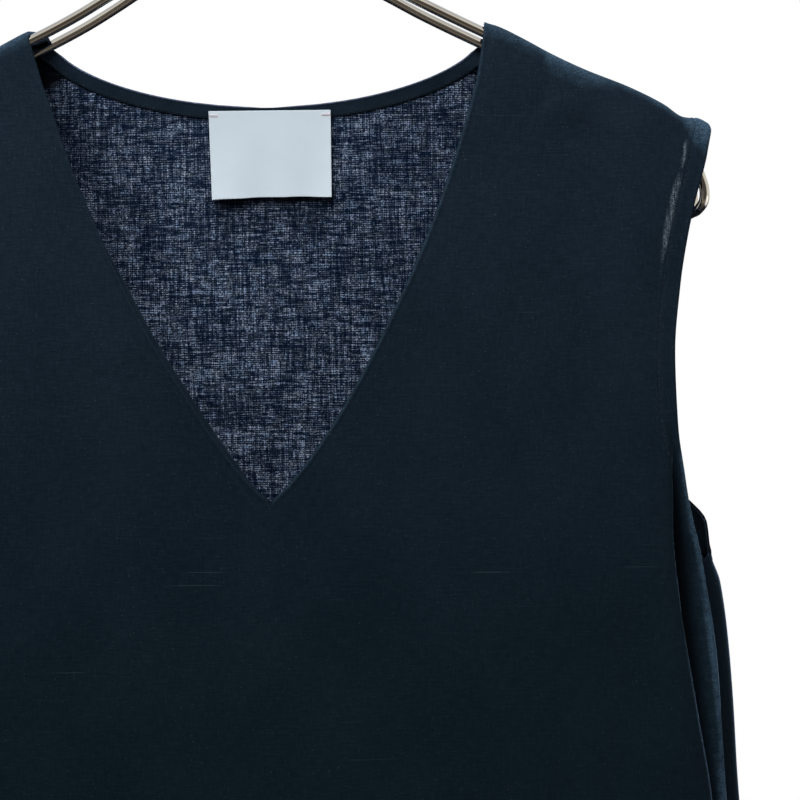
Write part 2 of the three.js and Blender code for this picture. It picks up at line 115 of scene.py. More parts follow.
# How far back each turn of a side fold lies, from the panel's plane to the seam between them
TURNS = {-1: (0.13, 0.64, 0.50, 1), 1: (0.12, 1)}
TURN_LENGTH = 0.012
TURN_EASE = 0.6
SECOND_SWELL = 0.0028          # how far the second fold's face swells forward
FOLD_START = 0.172
TIP_END = {-1: 0.229, 1: 0.240}  # where a panel's edge begins to run on to its side seam
LEFT_TUCK = 0.86
STITCH_END = {-1: 0.207, 1: 0.229}  # where the side folds hide the armholes' stitching
FLAT_SIDE = (0.034, 0.006)     # the soft folds fade out between these distances from the side
GROWN_BELOW_HEM = 0.250        # the soft folds would be full this far below the hem
# Unevenness: patches in a metre across and along, their seed and how far they stand out
UNEVEN = ((15, 8, 4.7, 0.0009), (42, 21, 9.1, 0.00022))


class Profile:
    """One column of a table, read between its rows on a curve that never overshoots a row."""

    def __init__(self, places, values):
        self.places = places
        self.values = values
        rises = [
            (values[i + 1] - values[i]) / (places[i + 1] - places[i])
            for i in range(len(places) - 1)
        ]
        slopes = [rises[0]]
        for before, after in zip(rises, rises[1:]):
            flat = before * after <= 0
            slopes.append(0 if flat else 2 * before * after / (before + after))
        self.slopes = slopes + [rises[-1]]

    def __call__(self, at):
        places, values, slopes = self.places, self.values, self.slopes
        at = min(max(at, places[0]), places[-1])
        row = 0
        while row < len(places) - 2 and at > places[row + 1]:
            row += 1
        step = places[row + 1] - places[row]
        t = (at - places[row]) / step
        bend = t * (1 - t) * step * ((1 - t) * slopes[row] - t * slopes[row + 1])
        return values[row] + (values[row + 1] - values[row]) * t * t * (3 - 2 * t) + bend


def profiles(names, rows):
    """A profile of each column of a table but the first, which says where each row lies."""
    columns = list(zip(*rows))
    return {name: Profile(columns[0], column) for name, column in zip(names[1:], columns[1:])}


# The top line of the shoulder, from the neck point to the shoulder end
RIDGE = profiles(("x", "level"), [
    (0.0900, -0.0056),
    (0.1010, -0.0002),
    (0.1050, 0.0010),
    (0.1157, 0.0062),
    (0.1295, 0.0138),
    (0.1450, 0.0212),
    (0.1647, 0.0292),
    (0.1800, 0.0370),
    (0.1890, 0.0430),
    (0.1954, 0.0440),
    (0.1994, 0.0461),
    (0.2020, 0.0506),
])["level"]

# How much wider each side of the V hangs open than its plain line
EASE = profiles(("level", "right", "left"), [
    (0.000, -0.0015, 0.0050),
    (0.010, -0.0005, 0.0056),
    (0.025, 0.0010, 0.0055),
    (0.035, 0.0011, 0.0048),
    (0.060, 0.0011, 0.0043),
    (0.075, 0.0011, 0.0037),
    (0.095, 0.0009, 0.0029),
    (0.115, 0.0005, 0.0024),
    (0.130, 0.0001, 0.0021),
    (0.147, 0.0000, 0.0012),
    (0.165, 0.0000, 0.0000),
])

# Half widths at each level. The front turns under at fold1 by tuck1, comes out again to fold2,
# and turns under by tuck2 to the side seam. Above the underarm fold2 is the front's armhole
# edge, fold1 is where its turned strip ends, and back is the back's armhole edge.
SIDES = profiles(("level", "fold1", "tuck1", "fold2", "tuck2", "back"), [
    (0.000, 0.1930, -0.0030, 0.2016, -0.0030, 0.2010),
    (0.050, 0.1926, -0.0030, 0.2014, -0.0030, 0.2004),
    (0.062, 0.1901, -0.0030, 0.1989, -0.0030, 0.1958),
    (0.081, 0.1850, -0.0030, 0.1937, -0.0030, 0.1878),
    (0.096, 0.1816, -0.0030, 0.1903, -0.0030, 0.1858),
    (0.119, 0.1782, -0.0030, 0.1865, -0.0030, 0.1826),
    (0.150, 0.1773, -0.0030, 0.1838, -0.0030, 0.1810),
    (0.186, 0.1804, -0.0015, 0.1850, -0.0015, 0.1845),
    (0.207, 0.1820, 0.0005, 0.1878, 0.0000, 0.1866),
    (0.216, 0.1822, 0.0025, 0.1893, 0.0020, 0.1922),
    (0.229, 0.1822, 0.0055, 0.1922, 0.0050, 0.2028),
    (0.243, 0.1831, 0.0085, 0.1959, 0.0095, 0.2044),
    (0.257, 0.1846, 0.0110, 0.1985, 0.0130, 0.2090),
    (0.285, 0.1883, 0.0140, 0.2024, 0.0170, 0.2126),
    (0.316, 0.1932, 0.0170, 0.2046, 0.0200, 0.2147),
    (0.347, 0.1982, 0.0190, 0.2060, 0.0220, 0.2162),
    (0.420, 0.2060, 0.0210, 0.2125, 0.0240, 0.2220),
    (0.600, 0.2210, 0.0240, 0.2290, 0.0280, 0.2380),
    (0.850, 0.2410, 0.0270, 0.2510, 0.0310, 0.2620),
    (1.150, 0.2650, 0.0300, 0.2770, 0.0340, 0.2880),
])

# Soft vertical folds: where, half width, depth at the hem, and the level where each begins
FOLDS = {
    -1: (
        (-0.150, 0.026, 0.015, 0.330),
        (-0.085, 0.021, 0.017, 0.255),
        (-0.033, 0.017, 0.012, 0.250),
        (0.022, 0.023, 0.015, 0.360),
        (0.084, 0.020, 0.011, 0.420),
        (0.138, 0.024, 0.017, 0.300),
    ),
    1: (
        (-0.158, 0.025, 0.015, 0.290),
        (-0.104, 0.019, 0.011, 0.380),
        (-0.044, 0.026, 0.016, 0.260),
        (0.017, 0.018, 0.010, 0.340),
        (0.070, 0.023, 0.016, 0.270),
        (0.131, 0.026, 0.014, 0.330),
    ),
}

# Creases pressed or hung into the cloth, each a soft ridge (or trough, where its depth is
# negative): middle x and level, lean from upright in degrees, length, half width and depth
CREASES = {
    -1: (
        (0.130, 0.030, -38, 0.034, 0.0032, -0.0015),
        (0.141, 0.034, -52, 0.044, 0.0085, 0.0012),
        (0.150, 0.0385, 66, 0.080, 0.0080, 0.0013),
        (0.168, 0.070, 14, 0.100, 0.0110, 0.0011),
        (0.154, 0.120, 9, 0.160, 0.0150, -0.0010),
        (0.176, 0.235, -6, 0.120, 0.0070, 0.0013),
        (0.165, 0.300, -9, 0.190, 0.0110, -0.0016),
        (0.120, 0.250, 4, 0.220, 0.0210, 0.0012),
        (0.060, 0.280, -3, 0.200, 0.0180, -0.0011),
        (0.012, 0.262, 2, 0.120, 0.0120, 0.0010),
        (-0.036, 0.330, 3, 0.240, 0.0160, -0.0013),
        (-0.092, 0.270, -5, 0.210, 0.0200, 0.0013),
        (-0.150, 0.120, -10, 0.150, 0.0140, 0.0010),
        (-0.172, 0.075, -12, 0.090, 0.0100, -0.0010),
        (-0.170, 0.245, 7, 0.150, 0.0090, 0.0014),
        (-0.135, 0.032, 46, 0.045, 0.0080, -0.0009),
        (-0.158, 0.330, 5, 0.230, 0.0120, -0.0015),
        (0.096, 0.470, 2, 0.260, 0.0130, -0.0016),
        (-0.010, 0.560, -2, 0.300, 0.0120, -0.0015),
        (-0.120, 0.640, 3, 0.340, 0.0140, 0.0016),
        (0.175, 0.700, -4, 0.380, 0.0130, -0.0017),
        (0.050, 0.850, 1, 0.360, 0.0140, 0.0017),
        (-0.060, 0.930, -2, 0.330, 0.0110, -0.0018),
    ),
    1: (
        (-0.021, 0.150, 2, 0.210, 0.0060, -0.0010),
        (0.048, 0.130, -4, 0.170, 0.0130, 0.0011),
        (-0.062, 0.100, 8, 0.130, 0.0120, 0.0011),
        (0.010, 0.205, -2, 0.160, 0.0100, 0.0009),
        (-0.118, 0.090, 14, 0.140, 0.0120, -0.0011),
        (0.112, 0.096, -12, 0.150, 0.0140, -0.0010),
        (0.150, 0.055, 48, 0.060, 0.0090, 0.0010),
        (-0.146, 0.052, -44, 0.055, 0.0080, 0.0009),
        (0.166, 0.190, 6, 0.140, 0.0100, 0.0012),
        (-0.170, 0.205, -8, 0.150, 0.0110, -0.0012),
        (0.142, 0.330, -7, 0.230, 0.0130, -0.0015),
        (-0.134, 0.350, 6, 0.240, 0.0140, 0.0015),
        (0.040, 0.420, 2, 0.260, 0.0160, -0.0014),
        (-0.052, 0.520, -3, 0.300, 0.0130, 0.0015),
        (0.104, 0.640, 3, 0.330, 0.0150, 0.0016),
        (-0.176, 0.700, -4, 0.350, 0.0130, -0.0017),
        (0.000, 0.800, 1, 0.380, 0.0140, -0.0016),
        (-0.100, 0.940, 2, 0.320, 0.0120, 0.0017),
        (0.180, 0.930, -3, 0.330, 0.0130, 0.0016),
    ),
}

# Rows of the upper part: where each leaves the neck edge and meets the armhole edge
ROWS = {
    -1: (
        (0.020, 0.062),
        (0.038, 0.078),
        (0.062, 0.096),
        (0.090, 0.116),
        (0.120, 0.138),
        (0.150, 0.162),
        (0.178, 0.185),
        (0.199, 0.202),
        (V_DEPTH, 0.217),
        (0.2297, 0.230),
        (0.239, 0.239),
        (0.246, 0.246),
        (UNDERARM, UNDERARM),
    ),
    1: (
        (0.0076, 0.062),
        (0.0125, 0.078),
        (0.0187, 0.096),
        (0.0258, 0.116),
        (BACK_NECK_DEPTH, 0.138),
        (0.0500, 0.162),
        (0.1000, 0.185),
        (0.1500, 0.202),
        (0.1880, 0.217),
        (0.2160, 0.230),
        (0.2330, 0.239),
        (0.2440, 0.246),
        (UNDERARM, UNDERARM),
    ),
}


def mix(a, b, t):
    return a + (b - a) * t


def smooth(at, low, high):
    t = min(max((at - low) / (high - low), 0), 1)
    return t * t * (3 - 2 * t)


def place_z(level):
    return NECK_POINT_Z - level


def panel_plane(level):
    """How far a panel's flat part stands before or behind the seam plane."""
    return PLANE + HEM_FULLNESS * smooth(level, FULL_FROM, LENGTH)


def turning_places(face, hand, level):
    """Half widths at which half a panel turns, from its first fold to its side seam."""
    tucks = [SIDES[name](level) for name in ("tuck1", "tuck2")]
    if hand < 0:
        tucks = [tuck * LEFT_TUCK if tuck > 0 else tuck for tuck in tucks]
    fold2 = SIDES["fold2"](level)
    seam = fold2 - tucks[1]
    if face > 0:
        return SIDES["back"](level), seam
    fold1 = SIDES["fold1"](level)
    return fold1, fold1 - tucks[0], fold2, seam


def crease_height(creases, x, level):
    total = 0
    for middle, low, lean, length, half, depth in creases:
        if abs(level - low) > length or abs(x - middle) > length / 2 + 3 * half:
            continue
        sin, cos = math.sin(math.radians(lean)), math.cos(math.radians(lean))
        along = ((x - middle) * sin + (level - low) * cos) * 2 / length
        if abs(along) >= 1:
            continue
        across = ((x - middle) * cos - (level - low) * sin) / half
        total += depth * (1 - along * along) ** 2 * math.exp(-across * across)
    return total


def hang(face, x, level):
    """How far the flat part's soft folds, creases and unevenness stand out of its plane."""
    edges = SIDES["back" if face > 0 else "fold1"]
    edge = edges(level)
    spread = edge / edges(FULL_FROM)
    inside = 1 - smooth(abs(x), edge - FLAT_SIDE[0], edge - FLAT_SIDE[1])
    folds = 0
    for at, half, depth, begins in FOLDS[face]:
        away = (x / spread - at) / half
        grown = smooth(level, begins, LENGTH + GROWN_BELOW_HEM)
        folds += depth * grown * math.exp(-away * away)
    out = folds + crease_height(CREASES[face], x, level)
    for across, along, seed, height in UNEVEN:
        out += height * noise.noise(Vector((x * across, level * along, face * seed)))
    return out * inside


def turned_point(xs, ys, cut):
    """A place on the turns of a side fold: x swings between its edges, y moves steadily back."""
    leg = min(int(cut), len(xs) - 2)
    t = cut - leg
    swing = (1 - math.cos(math.pi * t)) / 2
    back = t + TURN_EASE * math.sin(2 * math.pi * t) / (2 * math.pi)
    return mix(xs[leg], xs[leg + 1], swing), mix(ys[leg], ys[leg + 1], back)


def panel_point(face, hand, cut, level):
    """The middle of a panel's cloth."""
    out = panel_plane(level)
    far = smooth(level, FOLD_START, UNDERARM)
    xs = turning_places(face, hand, level)
    if cut <= 1:
        x = cut * xs[0]
        q = min(max((x - xs[0] + TURN_LENGTH) / TURN_LENGTH, 0), 1)
        curl = TURNS[face][0] * out * far * (1 - math.sqrt(1 - q * q))
        y = out - curl + hang(face, hand * x, level)
        return Vector((hand * x, face * y, place_z(level)))
    x, y = turned_point(xs, [out * (1 - share * far) for share in TURNS[face]], cut - 1)
    if face < 0 and 2 < cut < 3:
        y += SECOND_SWELL * far * math.sin(math.pi * (cut - 2) ** 4)
    return Vector((hand * x, face * max(y, SEAM_HALF_GAP), place_z(level)))


def v_half(hand, level):
    t = min(max(level / V_DEPTH, 0), 1)
    bow, fullness = V_SHAPE
    return NECK_HALF * (1 - t) ** bow * (1 + fullness * t) + EASE[SIDE_NAMES[hand]](level)


def shoulder_neck(face, hand, depth):
    """Half width of the neck over the wires: the front's leaves the seam for the V's width."""
    return mix(NECK_HALF, v_half(hand, 0), min(depth / WIRE_DEPTH, 1)) if face < 0 else NECK_HALF


def back_neck_level(x):
    share = 1 - min(abs(x) / BACK_NECK_HALF, 1) ** 2
    return mix(BACK_NECK_TOP, BACK_NECK_DEPTH, share ** BACK_NECK_BOW)


def neck_edge(face, hand, place):
    """Half width and level of a place on the neck's edge, or below it on the centre line."""
    if face < 0:
        return v_half(hand, place), place
    if place >= BACK_NECK_DEPTH:
        return 0, place
    share = (place - BACK_NECK_TOP) / (BACK_NECK_DEPTH - BACK_NECK_TOP)
    return BACK_NECK_HALF * math.sqrt(1 - share ** (1 / BACK_NECK_BOW)), place


def neck_distance(face, x, level):
    """About how far a place on a panel lies from the edge of the neck."""
    step = 0.001
    hand = 1 if x >= 0 else -1
    x = abs(x)
    if face < 0:
        if level > V_DEPTH - step:
            slope = v_half(hand, V_DEPTH - 2 * step) / (2 * step)
            return (x + (level - V_DEPTH) * slope) / math.hypot(1, slope)
        slope = (v_half(hand, level) - v_half(hand, level + step)) / step
        return (x - v_half(hand, level)) / math.hypot(1, slope)
    slope = (back_neck_level(x) - back_neck_level(x + step)) / step
    return (level - back_neck_level(x)) / math.hypot(1, slope)


def rows_over_wires():
    """The cloth over the wires.

    A row has its depth, how far it lies below the shoulder's top line, the angle to which it has
    turned down, and how much cloth lies between it and the last row.
    """
    rows = [(share * WIRE_DEPTH, 0, 0) for share in (0, 0.04, 0.1, 0.25, 0.5, 0.75, 1)]
    for degrees in range(15, 91, 15):
        angle = math.radians(degrees)
        drop = CAP_RADIUS * (1 - math.cos(angle)) * math.hypot(1, WIRE_SLOPE)
        rows.append((WIRE_DEPTH + CAP_RADIUS * math.sin(angle), drop, angle))
    total = WIRE_DEPTH + CAP_RADIUS * math.pi / 2
    gone = [depth if not angle else WIRE_DEPTH + CAP_RADIUS * angle for depth, _, angle in rows]
    return [(*row, total - far) for row, far in zip(rows, gone)]


OVER_WIRES = rows_over_wires()
CAP_END = OVER_WIRES[-1]

# Columns of half a panel: the first lie at set distances from the neck's edge, the last ones
# are spread over the side folds or the armhole's turned strip, and the rest lie between them
RIM_STEPS = (0, 0.0006, 0.0013, 0.0021, 0.0032, 0.0050)
FLAT_COLUMNS = 38
SIDE_COLUMNS = 34
SIDE_LENGTH = 0.012
UPPER_ROWS = 62
JOINING_ROWS = 5
ROW_HEIGHTS = (0.0030, 0.0058)  # at the underarm, and from the level ROWS_GROWN down
ROWS_GROWN = 0.6
HEM_ROWS = (0.06, 0.12, 0.35, 0.65, 0.9, 0.97, 1)
TRACE_STEPS = 30

# Thin walls: the cloth's own, and the strips turned to its inside
SHELL = 0.00062
BINDING_DEPTH = 0.00068
BINDING_WALL = 0.00045
BINDING_ROLL = 0.0002
STRIP_STEPS = 6
LEAST_PEEK = 0.0003
FRONT_PEEK = {-1: 0.0020, 1: 0.0003}
BACK_PEEK = -0.0006
LABEL_WALL = 0.00045


def row_levels(face):
    """Where each row of a panel leaves the neck or centre line and where it ends."""
    table = ROWS[face]
    last = len(table) - 1
    necks, arms = (Profile(range(last + 1), column) for column in zip(*table))
    steps = [last * i / UPPER_ROWS for i in range(UPPER_ROWS + 1)]
    rows = [(necks(step), arms(step)) for step in steps]
    level = UNDERARM
    while level < LENGTH - HEM:
        level += mix(*ROW_HEIGHTS, smooth(level, UNDERARM, ROWS_GROWN))
        rows.append((level, level))
    hem = [LENGTH - HEM + share * HEM for share in HEM_ROWS]
    rows = [row for row in rows if row[0] < LENGTH - HEM]
    return rows + [(level, level) for level in hem]


def flat_columns(start, end):
    """Half widths of the columns between the neck's edge or centre line and the side."""
    steps = [start + step for step in RIM_STEPS]
    left = FLAT_COLUMNS - len(steps) + 1
    return steps + [mix(steps[-1], end, i / left) for i in range(1, left + 1)]


def panel_row(face, hand, neck_place, arm_level):
    """One row of half a panel: its points, their flat places and how far they lie from its end."""
    start, neck_level = neck_edge(face, hand, neck_place)
    tip = len(TURNS[face]) - 1 + smooth(arm_level, TIP_END[face], UNDERARM)
    side = turning_places(face, hand, arm_level)[0]
    bend = side - SIDE_LENGTH

    def level_at(x):
        return mix(neck_level, arm_level, min((x - start) / (side - start), 1))

    row = []
    for x in flat_columns(start, bend)[:-1]:
        level = level_at(x)
        cut = x / turning_places(face, hand, level)[0]
        row.append([panel_point(face, hand, cut, level), hand * x, -level, 1])
    cuts = [mix(bend / side, 1, i / TRACE_STEPS) for i in range(TRACE_STEPS)]
    turns = max(math.ceil((tip - 1) * TRACE_STEPS), 1)
    cuts += [mix(1, tip, i / turns) for i in range(turns + 1)]
    trace = []
    gone = 0
    for cut in cuts:
        point = panel_point(face, hand, cut, level_at(min(cut, 1) * side))
        if trace:
            gone += (point - trace[-1][1]).length
        trace.append((gone, point, cut))
    k = 0
    for i in range(SIDE_COLUMNS + 1):
        wanted = gone * i / SIDE_COLUMNS
        while k < len(trace) - 2 and trace[k + 1][0] < wanted:
            k += 1
        (before, a, turn), (after, b, next_turn) = trace[k], trace[k + 1]
        share = (wanted - before) / (after - before)
        row.append([a.lerp(b, share), hand * (bend + wanted), -arm_level, gone - wanted,
                    mix(turn, next_turn, share)])
    return row


def cap_row(face, hand, depth, drop, behind):
    """One row of the cloth that lies over the wires of an arm."""
    slope = math.hypot(1, WIRE_SLOPE)
    end = CAP_HALF - (ARMHOLE_STRIP + SIDE_LENGTH) / slope
    xs = flat_columns(shoulder_neck(face, hand, depth), end)[:-1]
    xs += [mix(end, CAP_HALF, i / SIDE_COLUMNS) for i in range(SIDE_COLUMNS + 1)]
    row = []
    for x in xs:
        level = RIDGE(x) + drop
        point = Vector((hand * x, face * max(depth, SEAM_HALF_GAP), place_z(level)))
        along = -(RIDGE(x) + CAP_END[1]) + behind
        row.append([point, hand * x, along, (CAP_HALF - x) * slope])
    return row


def half_panel(face, hand):
    """The rows of half a panel, from the shoulder seam to the hem."""
    rows = [cap_row(face, hand, depth, drop, behind) for depth, drop, _, behind in OVER_WIRES]
    levels = row_levels(face)
    cap, first = rows[-1], panel_row(face, hand, *levels[0])
    for i in range(1, JOINING_ROWS):
        t = i / JOINING_ROWS
        rows.append([
            [a[0].lerp(b[0], t)] + [mix(m, n, t) for m, n in zip(a[1:4], b[1:4])]
            for a, b in zip(cap, first)
        ])
    rows.append(first)
    return rows + [panel_row(face, hand, *level) for level in levels[1:]]


HEM_STITCH_IN = 0.0014
# How the cloth stands out or sinks near an edge: the roll's and the stitching's distance from the
# edge, half width and height, then the width of the doubled cloth, its soft border and height
NECK_RELIEF = (
    (0.0007, 0.0008, 0.00030),
    (0.0019, 0.0005, -0.00012),
    (NECK_STRIP, 0.0007, 0.00016),
)
ARMHOLE_RELIEF = (
    (0.0008, 0.0009, 0.00030),
    (ARMHOLE_STRIP - 0.0013, 0.0007, -0.00042),
    (ARMHOLE_STRIP, 0.0007, 0.00042),
)
HEM_RELIEF = (
    (0.0010, 0.0012, 0.0003),
    (HEM - HEM_STITCH_IN, 0.0008, -0.0003),
    (HEM, 0.0008, 0.0004),
)
SEAM_RELIEF = (0.0022, -0.0005)  # half width and height
# The last three marks carry painted light through the cloth, a painted highlight and painted shade
SHEET_MARKS = ("across", "along", "raised", "sheer", "worn", "shut")


def ridge_at(distance, middle, half, height):
    away = (distance - middle) / half
    return height * math.exp(-away * away)


def edge_relief(distance, roll, stitches, strip):
    width, soft, height = strip
    doubled = height * (1 - smooth(distance, width - soft, width + soft))
    return ridge_at(distance, *roll) + ridge_at(distance, *stitches) + doubled


def seam_relief(depth):
    half, height = SEAM_RELIEF
    return height * max(0, 1 - depth / half) ** 2


def panel_relief(point, neck, to_end, below_wires):
    level = NECK_POINT_Z - point.z
    raised = edge_relief(LENGTH - level, *HEM_RELIEF)
    if level < UNDERARM + 0.02:
        raised += edge_relief(neck, *NECK_RELIEF) if below_wires else 0
        above = 1 - smooth(level, UNDERARM - 0.010, UNDERARM)
        raised += edge_relief(to_end, *ARMHOLE_RELIEF) * above
    return raised + seam_relief(abs(point.y))


def grid_sheet(bm, rows, face, hand):
    """Lays a grid of cloth on rows of a point and its values, in the order of SHEET_MARKS."""
    layers = bm.verts.layers.float
    marks = [layers.get(key) or layers.new(key) for key in SHEET_MARKS]
    last_row, last_column = len(rows) - 1, len(rows[0]) - 1
    made = bmesh.ops.create_grid(bm, x_segments=last_column, y_segments=last_row, size=1)
    for vert in made["verts"]:
        column = round((vert.co.x + 1) / 2 * last_column)
        row = round((1 - vert.co.y) / 2 * last_row)
        vert.co, *values = rows[row][column]
        for mark, value in zip(marks, values):
            vert[mark] = value
    if face * hand < 0:
        return
    faces = {f for vert in made["verts"] for f in vert.link_faces}
    bmesh.ops.reverse_faces(bm, faces=list(faces))


# Painted light through the single cloth that shows beside the turned strip, by hand: the levels
# between which it lies, its width, and the distance of its middle from the armhole's edge
LIGHT_THROUGH_STRIPS = {1: ((0.053, 0.067, 0.0018, 0.0107), (0.068, 0.110, 0.0033, 0.0103))}


def sheer_at(face, hand, level, to_end):
    """How much painted light through the cloth shows on the front beside the armhole's turned
    strip.
    """
    if face > 0:
        return 0
    total = 0
    for high, low, width, middle in LIGHT_THROUGH_STRIPS.get(hand, ()):
        t = (level - high) / (low - high)
        if not 0 < t < 1:
            continue
        narrow = width * min(1, 0.4 + 5 * t, 0.3 + 1.9 * (1 - t))
        fade = min(1, 8 * t, 5 * (1 - t))
        away = abs(to_end - middle + 0.0008 * t)
        total += fade * (1 - smooth(away, narrow * 0.15, narrow * 0.62))
    return min(total, 1)


def worn_at(face, hand, x, level, neck, turn):
    """How strongly a painted highlight lightens the nap: over the wires, at the shoulder end and
    the neck.
    """
    # Painted highlight on the side fold's second strip, strongest at its outer edge
    if turn > 2:
        edge = smooth(turn, 2.80, 2.86)
        return (0.26 * (turn - 2) ** 3 + 1.10 * edge) * smooth(level, 0.170, 0.215)
    # Painted highlight along the back neck's edge
    if face > 0 and level < BACK_NECK_DEPTH + 0.002 and neck < 0.0012:
        return 0.55
    below = level - RIDGE(x)
    end = smooth(x, 0.1875, 0.1955)
    crease = smooth(x, 0.1250, 0.1290) * (1 - smooth(x, 0.1400, 0.1620)) if hand > 0 else 0
    neck_end = 1 - smooth(x, 0.1150, 0.1300)
    band = 0.0040 + 0.0070 * crease + 0.0130 * end + 0.0030 * neck_end
    worn = (0.42 + 0.16 * crease + 0.53 * end) * (1 - smooth(below, band * 0.10, band))
    # Painted highlight along the V's edge, stronger on the right
    if face < 0 and level < V_DEPTH:
        worn = max(worn, (0.22 if hand > 0 else 0.05) * (1 - smooth(neck, 0.0003, 0.0013)))
    return min(worn, 1)


def shut_at(face, x, level, turn):
    """How much painted shade darkens the cloth: deep in the side folds, under the shoulder seam and
    under the label.

    Above 0 it shades the outer face, and below 0 the inner face.
    """
    if face < 0:
        if not 1 < turn < 3:
            return 0
        deep = smooth(turn, 1.00, 1.12) * (1 - smooth(turn, 2.50, 2.72))
        return 0.92 * deep * smooth(level, 0.185, 0.235)
    below = level - RIDGE(x)
    # Painted shade under the shoulder seam
    seam = smooth(x, 0.0920, 0.0965) * (1 - smooth(below, 0.0205, 0.0240))
    # Painted shadow under the label
    label = (1 - smooth(x, 0.024, 0.032)) * smooth(level, 0.060, 0.072)
    return -max(seam * 0.95, 0.36 * label * (1 - smooth(level, 0.082, 0.098)))


def finish_sheet(bm, name, inward=0.0):
    """Raises a sheet's relief, moves it inward, and makes it an object with a cloth UV map."""
    bmesh.ops.remove_doubles(bm, verts=bm.verts, dist=1e-6)
    bm.normal_update()
    across, along, raised = (bm.verts.layers.float[key] for key in SHEET_MARKS[:3])
    moves = [(vert, vert.normal * (vert[raised] - inward)) for vert in bm.verts]
    for vert, move in moves:
        vert.co += move
    cloth = bm.loops.layers.uv.new("cloth")
    for face in bm.faces:
        for loop in face.loops:
            loop[cloth].uv = (loop.vert[across], loop.vert[along])
    return plain_piece(bm, name)


def plain_piece(bm, name):
    """Makes a smooth object of a mesh that is being built."""
    for face in bm.faces:
        face.smooth = True
    mesh = bpy.data.meshes.new(name)
    bm.to_mesh(mesh)
    bm.free()
    return add_object(name, mesh)


def add_object(name, data):
    item = bpy.data.objects.new(name, data)
    bpy.context.scene.collection.objects.link(item)
    return item


def dress_piece(piece, finishes, slot, *nodes, wall=0):
    """Gives a piece its finishes and its wall, and ties it to the frame."""
    for make in finishes:
        settings = getattr(bpy.context.scene, FINISH_SETTINGS.get(make, "dress_cloth"))
        found = bpy.data.materials.get(make.__name__)
        piece.data.materials.append(found or make(settings))
    if wall:
        shell = piece.modifiers.new("Wall", "SOLIDIFY")
        shell.thickness = wall
        shell.offset = 0
        shell.material_offset = len(finishes) - 1
        shell.use_rim = True
    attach(piece, "root")
    if nodes:
        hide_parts(*nodes)


def dressed_place(face, hand, place, below_wires):
    """A place of half a panel with the values of its sheet's marks."""
    point, across, along, to_end, *turn = place
    turn = turn[0] if turn else 1
    level = NECK_POINT_Z - point.z
    x = abs(point.x)
    neck = max(neck_distance(face, hand * x, level), 0)
    return [
        point, across, along,
        panel_relief(point, neck, to_end, below_wires),
        sheer_at(face, hand, level, to_end),
        worn_at(face, hand, x, level, neck, turn),
        shut_at(face, x, level, turn),
    ]


def panel_piece(name, face):
    """A whole panel: two halves joined on the centre line."""
    bm = bmesh.new()
    for hand in (1, -1):
        rows = []
        for i, row in enumerate(half_panel(face, hand)):
            below_wires = i >= len(OVER_WIRES)
            rows.append([dressed_place(face, hand, place, below_wires) for place in row])
        grid_sheet(bm, rows, face, hand)
    return finish_sheet(bm, name)


def armhole_strip_rows(face, hand):
    """The rows of the strip inside an armhole's edge, from the shoulder seam to the underarm."""
    steps = [ARMHOLE_STRIP * i / STRIP_STEPS for i in range(STRIP_STEPS + 1)]
    rows = []
    for row in half_panel(face, hand):
        if NECK_POINT_Z - row[-1][0].z > UNDERARM + 0.001:
            break
        strip = []
        for step in reversed(steps):
            i = len(row) - 2
            while i > 0 and row[i][3] < step:
                i -= 1
            inner, outer = row[i], row[i + 1]
            t = (inner[3] - step) / (inner[3] - outer[3])
            values = [mix(a, b, t) for a, b in zip(inner[1:3], outer[1:3])]
            strip.append([inner[0].lerp(outer[0], t), *values])
        rows.append(strip)
    return rows


def armhole_binding(name, hand):
    bm = bmesh.new()
    for face in (-1, 1):
        grid_sheet(bm, armhole_strip_rows(face, hand), face, hand)
    return finish_sheet(bm, name, inward=BINDING_DEPTH)


# A neck strip follows frames along the neck's edge. A frame has a place for any distance in
# from the edge, and the way the cloth faces there.
BINDING_STEPS = (0, 0.05, 0.12, 0.3, 0.55, 0.8, 0.9, 1)
TIP_FRAMES = 8
NAPE_FRAMES = 12


def edge_line(face, hand):
    """Half widths and levels along one side of the neck's edge, below the wires."""
    half = shoulder_neck(face, hand, PLANE)
    start = (half, RIDGE(half) + CAP_END[1])
    levels = row_levels(face)
    end = V_DEPTH if face < 0 else BACK_NECK_DEPTH
    first = neck_edge(face, hand, levels[0][0])
    line = [tuple(mix(a, b, i / JOINING_ROWS) for a, b in zip(start, first))
            for i in range(JOINING_ROWS)]
    line += [neck_edge(face, hand, place) for place, _ in levels if place < end]
    if face > 0:
        last = line[-1][0]
        halves = [last * (1 - i / NAPE_FRAMES) for i in range(1, NAPE_FRAMES)]
        line += [(half, back_neck_level(half)) for half in halves]
    return line + [(0, end)]


